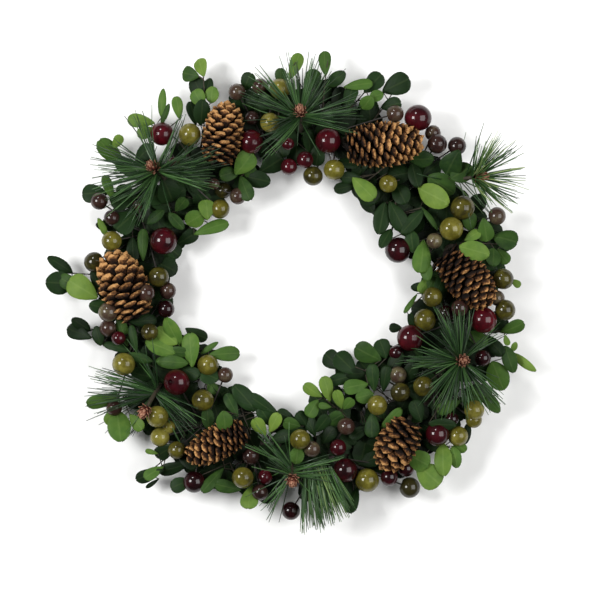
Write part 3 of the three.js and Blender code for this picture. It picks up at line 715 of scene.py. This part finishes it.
# Berries by colour: across, down and radius on the plan, and for some how far their shade goes from the
# darkest to the palest, and how many millimetres they stand over their place in the CAD model
berries = {
    "wine": [
        (162, 134, 11.5, 0.5), (251, 142, 11.8, 0.45), (289, 167, 8, 0.45), (164, 241, 13.3, 0.25),
        (328, 141, 12.4, 0.4), (305, 160, 8.2, 0.45), (418, 118, 13.3, 0.3), (398, 250, 12.5, 0.2),
        (483, 320, 12.8, 0.5), (410, 338, 12.8, 0.42), (482, 358, 8, 0.2, 6), (437, 434, 11.7, 0.3),
        (338, 447, 8, 0.35), (345, 470, 12, 0.15), (389, 477, 8.5, 0.0), (291, 511, 9, 0.05),
        (177, 382, 12.6, 0.32), (194, 482, 10.7, 0.05), (119, 338, 6.8, 0.2), (288, 144, 6), (174, 163, 6),
        (397, 353, 7.7, 0.2), (452, 419, 6.5, 0.1), (406, 469, 7.8, 0.15), (265, 477, 7, 0.5),
        (166, 309, 8.5, 0.12), (445.7, 313.5, 8, 0.05),
    ],
    "olive": [
        (190, 135, 10.8, 0.65), (280, 89, 10.3, 0.75), (270, 123, 9.5, 0.75), (220, 209, 9.6, 0.4),
        (112, 241, 9.6, 0.5), (334, 170, 10.3, 0.65), (313, 176, 9.7, 0.2), (388, 184, 8.7, 0.6),
        (462, 208, 11.8, 0.2), (451, 229, 11.5, 0.6), (503, 279, 10.3, 0.15), (505, 310, 10.2, 0.2),
        (432, 297, 9.8, 0.35), (400, 392, 9.5, 0.0), (423, 386, 10, 0.2), (377, 405, 9.9, 0.6),
        (474, 410, 9.8, 0.7), (458, 436, 10, 0.55), (300, 439, 10, 0.5), (367, 480, 11.5, 0.5),
        (410, 488, 10.3, -0.15), (124, 364, 11.3, 0.6), (208, 365, 10.3, 0.45), (203, 400, 10.7, 0.3),
        (158, 416, 10.5, 0.7, 6), (177, 450, 8.7, 0.2), (243, 477, 10.5, 0.5, 4), (94, 262, 9.8, -0.1),
        (159, 277, 10, 0.15), (223, 190, 8, -0.1), (425, 320, 11, 0.3), (160, 437, 9.2, 0.75, 3),
        (474, 420, 8, 0.6), (169, 427, 6.5, 0.7), (150, 332, 8.5, 0.0),
    ],
    "brown": [
        (437, 144, 9.7, 0.2), (457, 146, 9, 0.2), (237, 92, 8.3, 0.55), (238, 196, 8.3, 0.6),
        (99, 201, 8.5, 0.25), (395, 114, 8.4, 0.68), (434, 241, 7.7, 0.95), (497, 216, 8.8, 0.7),
        (459, 308, 8.3, 0.45), (346, 426, 8.6, 0.5), (114, 408, 7.8, 0.4), (260, 492, 8, 0.15),
        (168, 291, 8), (109, 312, 9.4, 0.7, 22), (260, 86, 8, 0.6), (497, 298, 7.8, 0.6),
        (398, 375, 8.5, 0.7), (251, 456, 8.4, 0.2), (147, 293, 8.5, 0.4, 16), (108, 328, 8.4, 0.5),
        (252, 118, 6.9, 0.35), (214, 184, 5.5, 0.5), (137.5, 205, 4.5), (433, 133, 7.8, 0.5),
        (225, 375, 7.8, 0.5), (112, 218, 7.5, 0.15), (312, 449, 8, 0.65),
    ],
}
berryRoots = [104, 78, 46, 23, -9, -36, -81, -107, -126, -167, 159, 135]  # degrees round the ring
berryForm = {
    "swell": 1.03, "dimple": 0.16, "drilled": (177, 382), "hole": 0.75, "holeWay": (-0.48, 0.02, 0.87),
    "tone": 0.45, "toneSpread": 0.08, "stretch": (0.96, 1.03), "root": 0.0036, "wire": 0.0007,
    "bend": (0.5, 0.25), "wireEnd": 0.7,
    "coil": {"radius": 0.0022, "thickness": 0.0006, "turns": 4, "drop": 0.0022, "rise": 0.0011},
    # a solid has few sides, so its top is at this share of the radius over its middle. Where it is further
    # than trust from the usual height, which dome gives to domeOver, that height takes its place.
    "solidTop": 0.866, "trust": 0.02, "dome": (0.012, 0.027, 0.06, 0.056), "sink": 0.006,
}


def modelBerry(name, dimple, depth):
    bpy.ops.mesh.primitive_uv_sphere_add(segments=24, ring_count=14, radius=1)
    berry = startEdit(name)
    reshape(lambda p: p.z < -0.93, move=(0, 0, dimple / 2))  # the dimple that the stem goes into
    reshape(lambda p: p.z < -0.9 + dimple and math.hypot(p.x, p.y) < 0.01, move=(0, 0, depth))
    closeEdit(50)
    return berry


def surfaceOf(node):
    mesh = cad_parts[node].data
    return BVHTree.FromPolygons([v.co for v in mesh.vertices], [p.vertices for p in mesh.polygons])


def topOver(surface, point):  # the height of a solid's upper side over a point of the plan
    hit = surface.ray_cast(Vector((point.x, point.y, 0.2)), Vector((0, 0, -1)))
    return hit[0].z if hit[0] else None


def berryHeight(surface, centre, radius):
    usual, top = domeOver(centre, *berryForm["dome"]), topOver(surface, centre)
    if top and abs(top - berryForm["solidTop"] * radius - usual) < berryForm["trust"]:
        return top - berryForm["solidTop"] * radius
    return max(usual - berryForm["sink"], radius)


def windCoil(root, radius, thickness, turns, drop, rise):  # the stems are wound together at their root
    coil = []
    for step in range(12 * turns):
        angle = 2 * math.pi * step / 12
        aside = (radius * math.cos(angle), radius * math.sin(angle), -drop + rise * step / 12)
        coil.append(root + Vector(aside))
    return coil, thickness, thickness


def makeBerries():
    form, draw = berryForm, random.Random(11)
    template = modelBerry("berry", form["dimple"], form["dimple"])
    drilled = modelBerry("drilledBerry", 0.0, form["hole"])  # one shows the open hole for its stem
    roots = [aroundRing(degrees, 0, ringTop + form["root"]) for degrees in berryRoots]
    surfaces = [surfaceOf(f"berries_{number}") for number in range(1, len(roots) + 1)]
    bunches = [{"wine": [], "olive": [], "brown": [], "wires": []} for root in roots]
    for colour, places in berries.items():
        for across, down, size, *own in places:
            tone, lift = own + [form["tone"], 0][len(own):]
            centre, radius = onPlan(across, down), size * plan["unit"] * form["swell"]
            spans = [apart(root, centre) for root in roots]
            number = spans.index(min(spans))
            root, bunch = roots[number], bunches[number]
            centre.z = berryHeight(surfaces[number], centre, radius)
            centre.z += lift / 1000
            away, isDrilled = (centre - root).normalized(), (across, down) == form["drilled"]
            aim = -Vector(form["holeWay"]).normalized() if isDrilled else away
            facing = [axis * radius for axis in axesAlong(aim)]
            facing.append(aim * radius * draw.uniform(*form["stretch"]))
            tone += sway(draw, form["toneSpread"])
            item = layCopy(drilled if isDrilled else template, centre, facing, tone)
            bunch[colour].append(setFinish(item, colour))
            along, rise = form["bend"]
            bend = root.lerp(centre, along)
            bend.z = root.z + rise * (centre.z - root.z)
            path = onCurve(root, bend, centre - away * radius * form["wireEnd"], 8)
            bunch["wires"].append((path, form["wire"], form["wire"]))
    for number, (root, bunch) in enumerate(zip(roots, bunches), 1):
        stems = makeTubes("stems", bunch["wires"] + [windCoil(root, **form["coil"])], "wrap")
        setPiece(f"berryStems_{number}", [stems], "vine", f"berries_{number}")
        for colour in berries:
            if bunch[colour]:
                setPiece(f"{colour}Berries_{number}", bunch[colour], f"berry_{colour}", f"berries_{number}")
    clearAway((template, drilled))


makeBerries()
print("berries done")

# Leafy sprigs by bunch: the bunch's root, then each sprig's bend, tip, tip height in mm and leaves. A leaf is
# its middle and length on the plan, its width in hundredths of that, its tone from 0 for darkest to 100 for
# palest, for some the place of its tip, where it doesn't point away from its stem, and for some a lift in mm.
sprigs = {
    "top_left": [(194, 167),
        ((209, 130), (203, 76), 30, (201, 67, 21, 68, 75, (198, 57)), (190, 74, 19, 85, 42, (182, 72)),
         (198, 87, 27, 70, 14, (193, 76)), (207, 88, 22, 55, 15), (199, 99, 20, 80, 66, (194, 91)),
         (212, 95, 17, 85, 68, (213, 87)), (202, 113, 26, 66, 20, (203, 101), 8),
         (193, 113, 24, 50, 10, (190, 101))),
        ((180, 128), (136, 121), 26, (141, 121, 27, 52, 70, (127, 119)), (147, 132, 20, 65, 66),
         (162, 103, 29, 30, 66, (163, 89)), (178, 108, 23, 50, 66, (176, 96)), (165, 114, 22, 30, 40))],
    "left_high": [(164, 200),
        ((138, 178), (104, 146), 16, (111, 153, 38, 48, 50, (99, 140)), (117, 142, 16, 65, 76),
         (127, 168, 26, 60, 30), (143, 154, 24, 70, 30)),
        ((130, 196), (94, 190), 20, (94, 193, 25, 78, 30), (123, 200, 26, 80, 15),
         (109, 188, 26, 40, 60, (105, 177)), (146, 214, 20, 60, 10))],
    "left": [(150, 222),
        ((126, 232), (99, 227), 20, (126, 221, 27, 88, 28, (118, 228)), (103, 228, 22, 32, 72, (98, 217)),
         (143, 245, 32, 34, 42, (143, 229)), (155, 217, 22, 50, 30), (133, 250, 26, 50, 12),
         (106, 226, 22, 50, 10))],
    "inner_high_left": [(163, 212),
        ((184, 206), (214, 227), 24, (168, 190, 27, 90, 25, (173, 202)), (181, 205, 18, 70, 40, (187, 198)),
         (195, 219, 22, 85, 64, (186, 224)), (207, 210, 20, 85, 68, (206, 200)),
         (211, 228, 36, 38, 58, (228, 222)), (187, 238, 24, 60, 15, (197, 232)), (176, 221, 22, 50, 35))],
    "inner_top_left": [(241, 142),
        ((243, 166), (258, 186), 24, (244, 164, 27, 80, 66, (252, 154)), (231, 173, 24, 60, 36),
         (257, 179, 27, 66, 16, (270, 182)), (271, 165, 28, 72, 12), (245, 188, 28, 55, 38, (250, 201)),
         (250, 171, 22, 60, 35)),
        ((252, 106), (247, 78), 20, (247, 82, 20, 75, 28, (251, 73)), (262, 104, 22, 60, 20),
         (250, 100, 24, 60, 12))],
    "top": [(281, 131),
        ((272, 96), (296, 62), 32, (295, 66, 28, 48, 68, (300, 53)), (281, 78, 20, 60, 34),
         (311, 81, 26, 62, 36, (317, 70)), (309, 141, 24, 50, 18, (308, 130)))],
    "top_right": [(322, 132),
        ((322, 98), (328, 60), 32, (325, 63, 26, 50, 47), (336, 79, 23, 62, 30), (318, 153, 26, 60, 15),
         (346, 163, 28, 40, 25, (358, 163))),
        ((352, 110), (374, 80), 26, (358, 85, 29, 40, 55, (372, 83)), (373, 83, 25, 72, 22),
         (367, 103, 17, 85, 56, (362, 109)), (376, 96, 15, 80, 60, (383, 94)), (350, 97, 24, 60, 30))],
    "outer_right_top": [(358, 135),
        ((384, 112), (398, 82), 22, (396, 85, 30, 76, 20, (409, 79)), (391, 105, 22, 70, 22, (401, 103)))],
    "inner_right_high": [(391, 160),
        ((376, 176), (352, 190), 26, (363, 188, 31, 60, 76, (375, 200)), (365, 191, 32, 72, 15, (377, 203)),
         (346, 187, 24, 50, 12), (367, 203, 22, 60, 10), (352, 178, 24, 50, 15),
         (402, 174, 28, 70, 12, (389, 176)), (415, 175, 26, 55, 15, (418, 187)),
         (421, 159, 26, 68, 32, (432, 159))),
        ((402, 194), (390, 242), 22, (401, 194, 23, 80, 20), (382, 218, 33, 52, 20, (379, 233)),
         (397, 216, 32, 56, 24, (404, 230)), (412, 222, 32, 45, 25, (401, 234)),
         (412, 241, 23, 65, 34, (413, 251)), (386, 238, 24, 50, 20), (430, 218, 28, 20, 42, (438, 229)))],
    "right_high": [(430, 187),
        ((442, 180), (464, 164), 36, (433, 196, 37, 64, 80, (449, 205)), (441, 185, 31, 82, 40, (453, 193)),
         (452, 163, 29, 80, 28, (446, 174), 6), (461, 173, 25, 85, 36, (472, 167), 7))],
    "right": [(457, 241),
        ((482, 244), (514, 244), 22, (470, 223, 22, 70, 42, (468, 212)), (485, 230, 25, 68, 52, (487, 241)),
         (472, 236, 18, 60, 68), (473, 251, 31, 62, 66, (487, 255), 19), (505, 239, 26, 82, 36, (516, 242)),
         (493, 257, 20, 85, 38, (492, 266)), (503, 256, 18, 70, 45, (508, 263))),
        ((490, 262), (511, 280), 14, (516, 283, 11, 70, 75, (520, 286)), (486, 262, 24, 60, 25))],
    "inner_right": [(452, 262),
        ((436, 250), (414, 244), 24, (422, 256, 34, 56, 60, (420, 272)), (426, 270, 22, 60, 50, (427, 280)),
         (432, 283, 20, 60, 45), (425, 284, 22, 50, 68)),
        ((438, 286), (404, 312), 22, (411, 303, 26, 20, 50, (404, 313)), (420, 287, 20, 50, 12),
         (440, 284, 20, 60, 15), (412, 321, 16, 60, 12))],
    "right_low": [(460, 330),
        ((486, 336), (517, 327), 20, (512, 328, 27, 52, 52, (524, 323)), (494, 345, 28, 50, 14),
         (506, 340, 11, 60, 70), (396, 328, 13, 75, 10), (478, 338, 24, 60, 40)),
        ((496, 350), (532, 368), 16, (509, 359, 28, 55, 40, (513, 372), 4),
         (523, 362, 31, 30, 78, (534, 371)), (514, 347, 11, 60, 70), (498, 376, 31, 74, 55, (503, 389)))],
    "right_corner": [(444, 385),
        ((470, 394), (497, 396), 18, (490, 401, 30, 46, 45, (499, 412)), (480, 391, 24, 50, 52),
         (474, 396, 22, 65, 35), (449, 406, 26, 50, 42, (438, 411)), (442, 424, 28, 46, 20, (456, 425), 14),
         (467, 433, 22, 40, 12))],
    "inner_low_right": [(424, 405),
        ((388, 376), (334, 360), 24, (333, 361, 24, 80, 14, (325, 354)), (346, 364, 28, 75, 20, (336, 354)),
         (341, 379, 28, 46, 22, (328, 382)), (368, 354, 29, 74, 36, (356, 348)),
         (383, 349, 20, 85, 28, (380, 341)), (373, 378, 28, 48, 34, (372, 365)),
         (385, 379, 27, 46, 20, (387, 366)), (356, 386, 25, 62, 56, (345, 388)),
         (365, 396, 19, 80, 55, (356, 398)), (410, 372, 24, 60, 10), (395, 362, 24, 60, 10),
         (415, 393, 18, 80, 15, None, 6), (437, 363, 34, 30, 45, (421, 364)), (355, 374, 22, 50, 12))],
    "inner_low": [(360, 444),
        ((354, 416), (316, 394), 22, (313, 391, 22, 56, 72, (304, 385)), (327, 389, 26, 56, 72, (324, 377)),
         (313, 408, 20, 72, 58, (308, 416)), (339, 400, 21, 54, 70, (336, 391)),
         (348, 404, 15, 75, 60, (353, 398)), (325, 406, 14, 50, 58))],
    "low_inner": [(322, 456),
        ((318, 432), (296, 420), 22, (292, 424, 19, 70, 48, (285, 422)), (302, 419, 18, 70, 20),
         (311, 426, 22, 60, 20), (333, 420, 23, 66, 35, (342, 415)), (322, 424, 22, 60, 22),
         (328, 436, 22, 60, 12), (297, 455, 18, 80, 54, (296, 463)), (286, 416, 20, 60, 15))],
    "low_right": [(399, 430),
        ((424, 440), (462, 452), 22, (417, 459, 26, 82, 62, (427, 465)), (428, 474, 31, 85, 70, (438, 483)),
         (443, 459, 33, 55, 76, (443, 475)), (455, 457, 22, 60, 60, (457, 467)),
         (459, 446, 18, 60, 62, (465, 451)), (433, 445, 24, 50, 12)),
        ((388, 418), (370, 425), 24, (372, 425, 25, 62, 34, (372, 437)), (390, 420, 32, 32, 58, (402, 408)),
         (417, 411, 24, 65, 20, (413, 400)), (405, 402, 22, 60, 10), (360, 432, 24, 50, 12))],
    "low": [(341, 456),
        ((358, 474), (352, 506), 22, (369, 461, 24, 65, 15), (353, 500, 28, 50, 26, (348, 513)),
         (346, 488, 24, 60, 14), (335, 496, 24, 60, 28))],
    "low_left": [(226, 446),
        ((226, 468), (252, 498), 20, (213, 480, 33, 36, 42, (203, 491)), (228, 487, 27, 50, 36, (216, 484)),
         (250, 497, 25, 75, 74, (248, 509)), (181, 484, 22, 70, 30))],
    "left_corner": [(188, 418),
        ((184, 452), (136, 480), 20, (149, 475, 32, 42, 14, (136, 480)),
         (154, 472, 22, 55, 58, (145, 477), 3), (174, 468, 33, 40, 12, (160, 472)), (165, 451, 26, 60, 14),
         (152, 452, 14, 40, 70, (145, 450)), (152, 484, 16, 30, 12, (146, 488)), (186, 460, 26, 50, 12))],
    "left_low": [(158, 378),
        ((134, 398), (108, 410), 20, (104, 400, 36, 40, 50, (88, 404)), (119, 426, 32, 74, 66, (121, 441)),
         (113, 416, 22, 70, 72), (136, 422, 21, 62, 68, (144, 431)), (141, 358, 26, 38, 34, (128, 354)))],
    "inner_low_left": [(262, 454),
        ((246, 430), (238, 398), 24, (245, 398, 34, 55, 30, (236, 387)), (264, 406, 38, 36, 24, (249, 396)),
         (232, 405, 26, 45, 34, (226, 393)), (225, 420, 21, 82, 50, (226, 431), 24),
         (208, 418, 22, 60, 40, (207, 408), 3), (255, 404, 30, 50, 12, (243, 394))),
        ((264, 432), (292, 421), 26, (260, 427, 22, 62, 76, (254, 418)), (274, 423, 23, 55, 80, (279, 413)),
         (280, 437, 22, 60, 20), (266, 417, 24, 60, 28))],
    "outer_left": [(137, 274),
        ((102, 276), (56, 272), 16, (60, 265, 30, 42, 13, (48, 257)), (59, 283, 28, 85, 18, (46, 282)),
         (67, 282, 22, 70, 40, (60, 278)), (83, 289, 34, 72, 74, (70, 281)),
         (97, 284, 30, 34, 10, (93, 271)))],
    "left_lower": [(142, 341),
        ((108, 326), (70, 330), 14, (78, 333, 30, 52, 12, (65, 328)), (81, 325, 24, 50, 12, (72, 319)),
         (98, 336, 20, 60, 15, (96, 328)), (100, 307, 22, 68, 34, (91, 305)),
         (123, 332, 30, 38, 44, (119, 318)), (134, 339, 28, 30, 36, (131, 326)),
         (143, 321, 28, 45, 20, (156, 320)), (116, 347, 30, 30, 30, (102, 343)))],
    "inner_left": [(148, 354),
        ((176, 346), (232, 352), 26, (161, 347, 32, 54, 64, (147, 341)), (167, 336, 26, 62, 72, (158, 329)),
         (173, 332, 32, 52, 68, (166, 318)), (191, 350, 34, 54, 66, (190, 334)),
         (172, 362, 33, 42, 47, (157, 361)), (196, 334, 24, 55, 18, (206, 339)),
         (224, 354, 31, 50, 50, (239, 353)), (209, 348, 21, 28, 52, (218, 342)), (178, 352, 24, 50, 40)),
        ((184, 366), (216, 386), 20, (208, 375, 22, 85, 30, (217, 379), 10),
         (212, 388, 16, 70, 50, (218, 393)), (190, 372, 22, 60, 20), (219, 392, 24, 60, 20),
         (190, 392, 24, 60, 12))],
}
leafForm = {
    "fold": 0.03, "cup": 0.05, "arch": 0.05, "thickness": 0.028, "stem": (0.0009, 0.0004),
    "petiole": (0.0005, 0.0004), "footGap": 0.003, "footBend": 0.6, "footDrop": -0.03,
    # where it lies: on its solid, or at the usual height, and the pale ones higher. Spreads are in metres for
    # the height, and the rest in shares and radians
    "dome": (0.009, 0.021, 0.088, 0.08), "heightSpread": 0.003, "paleRise": 0.008, "evenTone": 0.3,
    "ahead": 0.25, "steepest": 0.45, "slopes": (-0.2, 0.3), "toneSpread": 0.04, "roll": 0.35,
    "curls": (-0.05, 0.16), "paleBunch": 0.42,
    # how wide a leaf is at each share of its length: broadest past the middle, or like an egg
    "obovate": ((0, 0.08), (0.1, 0.33), (0.25, 0.62), (0.42, 0.86), (0.6, 0.99), (0.74, 1.0), (0.86, 0.88),
                (0.94, 0.64), (0.985, 0.36), (1, 0.16)),
    "oval": ((0, 0.08), (0.08, 0.4), (0.2, 0.72), (0.36, 0.94), (0.52, 1.0), (0.67, 0.95), (0.8, 0.8),
             (0.91, 0.56), (0.975, 0.3), (1, 0.12)),
    "plain": ((0, 0.1), (0.2, 0.6), (0.5, 0.97), (0.75, 0.97), (0.93, 0.6), (1, 0.2)),
}
# Dark leaves under the others: how many, how many more right over the ring to hide it, their lengths on the
# plan, shares of width and heights in metres, and how far they keep from the edge of the thicket
underLeaves = {
    "count": 430, "over": 150, "length": (22, 31), "shape": (0.62, 0.8), "heights": (0.007, 0.022),
    "margin": 11, "step": 222.49, "dome": 0.075, "overWidth": 0.013, "overRise": (0.75, 1.05), "foot": 0.016,
    "footWidth": 0.006, "footTurn": 7, "bendRise": 0.002, "stem": (0.0007, 0.0004), "tones": (0.0, 0.3),
    "slopes": (-0.2, 0.3), "roll": 0.4, "curls": (0, 0.15),
}
# How far the thick of the foliage reaches from the ring's middle, inside and outside, in plan units, every
# 15 degrees
thicket = [(118, 212), (116, 218), (106, 205), (106, 202), (112, 202), (124, 218), (130, 216), (116, 216),
           (112, 205), (106, 206), (118, 214), (128, 208), (124, 206), (122, 208), (98, 204), (102, 214),
           (108, 220), (122, 218), (120, 214), (94, 212), (82, 214), (86, 220), (100, 220), (112, 216)]


def modelLeaf(name, columns, outline, tipPoint):
    bpy.ops.mesh.primitive_grid_add(x_subdivisions=columns, y_subdivisions=len(outline) - 1, size=1)
    blade = startEdit(name)
    reshape(lambda p: abs(p.x) < 0.1, move=(0, 0, -leafForm["fold"]))
    reshape(lambda p: abs(p.x) > 0.4, move=(0, 0, -leafForm["cup"]))
    for row, (level, width) in reversed(list(enumerate(outline))):
        usual = row / (len(outline) - 1) - 0.5
        arch = leafForm["arch"] * (1 - (2 * level - 1) ** 2)
        move = (0, level - 0.5 - usual, arch)
        reshape(lambda p: abs(p.y - usual) < 0.01, (width, 1, 1), (0, usual, 0), move)
    reshape(lambda p: p.y > 0.49 and abs(p.x) < 0.02, move=(0, tipPoint, 0))
    addWall(blade, leafForm["thickness"], 0, 45)
    return setFinish(blade, "leaf")


def leafFoot(path, middle, reach):  # where a leaf leaves its stem: near its base, towards the root
    points = [path[i].lerp(path[i + 1], share) for i in range(3) for share in (0.1, 0.3, 0.5, 0.7, 0.9)]
    spans = [apart(point, middle) for point in points]
    best = nearest = spans.index(min(spans))
    for i in range(nearest, 0, -1):
        if abs(spans[i] - reach) < abs(spans[best] - reach):
            best = i
    return points[best]


def layLeaf(blade, foot, middle, length, width, tone, slope, roll, curl):
    way = (heading(foot, middle) + Vector((0, 0, slope))).normalized()
    level = Vector((-way.y, way.x, 0)).normalized()
    side = turned((-level, way.cross(-level)), roll)
    up = side.cross(way)
    item = layCopy(blade, middle, (side * width, way * length, up * length), tone, curl)
    return item, middle - way * length * 0.5 + up * length * leafForm["footDrop"]


def reachAt(angle):  # inside and outside reach of the thicket at an angle, in plan units
    step = angle / 15
    before, after = thicket[int(step) % 24], thicket[(int(step) + 1) % 24]
    return [between(ends, step - int(step)) for ends in zip(before, after)]


def laySprig(bunch, surface, blades, sprig, draw):
    form, (bend, tip, height, *leaves) = leafForm, sprig
    start, end = bunch["root"], onPlan(*tip, height / 1000)
    middle = onPlan(*bend, (start.z + end.z) / 2)
    path = onCurve(start, middle, end, 3)
    bunch["stems"].append((onCurve(start, middle, end, 12), *form["stem"]))
    for across, down, size, share, shade, *own in leaves:
        aim, lift = own + [None, 0][len(own):]
        length, tone, centre = size * plan["unit"], shade / 100, onPlan(across, down)
        foot = leafFoot(path, centre, length / 2 + form["footGap"])
        back = centre * 2 - onPlan(*aim) if aim else foot
        reach = length * form["ahead"]
        top, ahead = topOver(surface, centre), topOver(surface, centre + heading(back, centre) * reach)
        level = top if top else domeOver(centre, *form["dome"]) + sway(draw, form["heightSpread"])
        centre.z = level + form["paleRise"] * (tone - form["evenTone"]) + lift / 1000
        slope = (ahead - top) / reach if top and ahead else draw.uniform(*form["slopes"])
        slope = min(max(slope, -form["steepest"]), form["steepest"])
        bunch["tones"].append(tone)
        blade, tone = draw.choice(blades), tone + sway(draw, form["toneSpread"])
        roll, curl = sway(draw, form["roll"]), draw.uniform(*form["curls"])
        width = length * (share / 100)
        item, base = layLeaf(blade, back, centre, length, width, tone, slope, roll, curl)
        bunch["parts"].append(item)
        bunch["stems"].append((onCurve(foot, foot.lerp(base, form["footBend"]), base, 3), *form["petiole"]))


def layUnderLeaf(n, bunches, under, draw):
    form = underLeaves
    angle = (n * form["step"]) % 360  # a golden angle, so that no place is left bare
    low, high = reachAt(angle)
    off = math.sqrt(draw.uniform((low + form["margin"]) ** 2, (high - form["margin"]) ** 2)) * plan["unit"]
    off -= ring["radius"]
    rise = draw.uniform(0, 1) * math.sqrt(max(1 - (off / form["dome"]) ** 2, 0))
    if n >= form["count"]:
        off, rise = sway(draw, form["overWidth"]), draw.uniform(*form["overRise"])
    centre = aroundRing(angle, off, between(form["heights"], rise))
    bunch = min(bunches, key=lambda bunch: (bunch["root"] - centre).length)
    length, footWidth = draw.uniform(*form["length"]) * plan["unit"], form["footWidth"]
    footOff = max(min(off - math.copysign(form["foot"], off), footWidth), -footWidth)
    foot = aroundRing(angle + sway(draw, form["footTurn"]), footOff, ring["height"] + footWidth)
    width, tone = length * draw.uniform(*form["shape"]), draw.uniform(*form["tones"])
    slope, roll = draw.uniform(*form["slopes"]), sway(draw, form["roll"])
    curl = draw.uniform(*form["curls"])
    item, base = layLeaf(under, foot, centre, length, width, tone, slope, roll, curl)
    bend = foot.lerp(base, 0.5) + Vector((0, 0, form["bendRise"]))
    bunch["parts"].append(item)
    bunch["stems"].append((onCurve(foot, bend, base, 3), *form["stem"]))


def makeSprigs():
    kinds = (("roundLeaf", "obovate", 0.005), ("notchedLeaf", "obovate", -0.01), ("ovalLeaf", "oval", 0.01))
    blades = [modelLeaf(name, 4, leafForm[outline], tipPoint) for name, outline, tipPoint in kinds]
    under = modelLeaf("plainLeaf", 2, leafForm["plain"], 0.0)
    draw, bunches = random.Random(23), []
    for name, (root, *parts) in sprigs.items():
        foot = onRing(*root, leafForm["stem"][0])
        bunches.append({"name": name, "root": foot, "parts": [], "stems": [], "tones": []})
        surface = surfaceOf(f"leaves_{name}")
        for sprig in parts:
            laySprig(bunches[-1], surface, blades, sprig, draw)
    for n in range(underLeaves["count"] + underLeaves["over"]):
        layUnderLeaf(n, bunches, under, draw)
    for bunch in bunches:
        isPale = sum(bunch["tones"]) > leafForm["paleBunch"] * len(bunch["tones"])
        parts = bunch["parts"] + [makeTubes("stems", bunch["stems"], "stemBark", 0)]
        slot = "leaf_light" if isPale else "leaf_dark"
        setPiece(f"sprigs_{bunch['name']}", parts, slot, f"leaves_{bunch['name']}")
    clearAway(blades + [under])


makeSprigs()
print("sprigs done")


# Plain pale floor and soft surroundings
def makeSurroundings():
    bpy.ops.mesh.primitive_plane_add(size=6)
    floor = bpy.context.object
    floor.name = "floor"
    stops = ((0.3, "#f1f1f0"), (0.7, "#f5f5f4"))
    floor.data.materials.append(grainedSurface("palePaint", stops, {"Scale": 8.0}, Roughness=0.9))
    world = bpy.data.worlds.new("softRoom")
    bpy.context.scene.world = world
    world.use_nodes = True
    sky = world.node_tree.nodes["Background"]
    sky.inputs["Color"].default_value = (1, 1, 1, 1)
    sky.inputs["Strength"].default_value = 0.09


makeSurroundings()
print("whole wreath done")
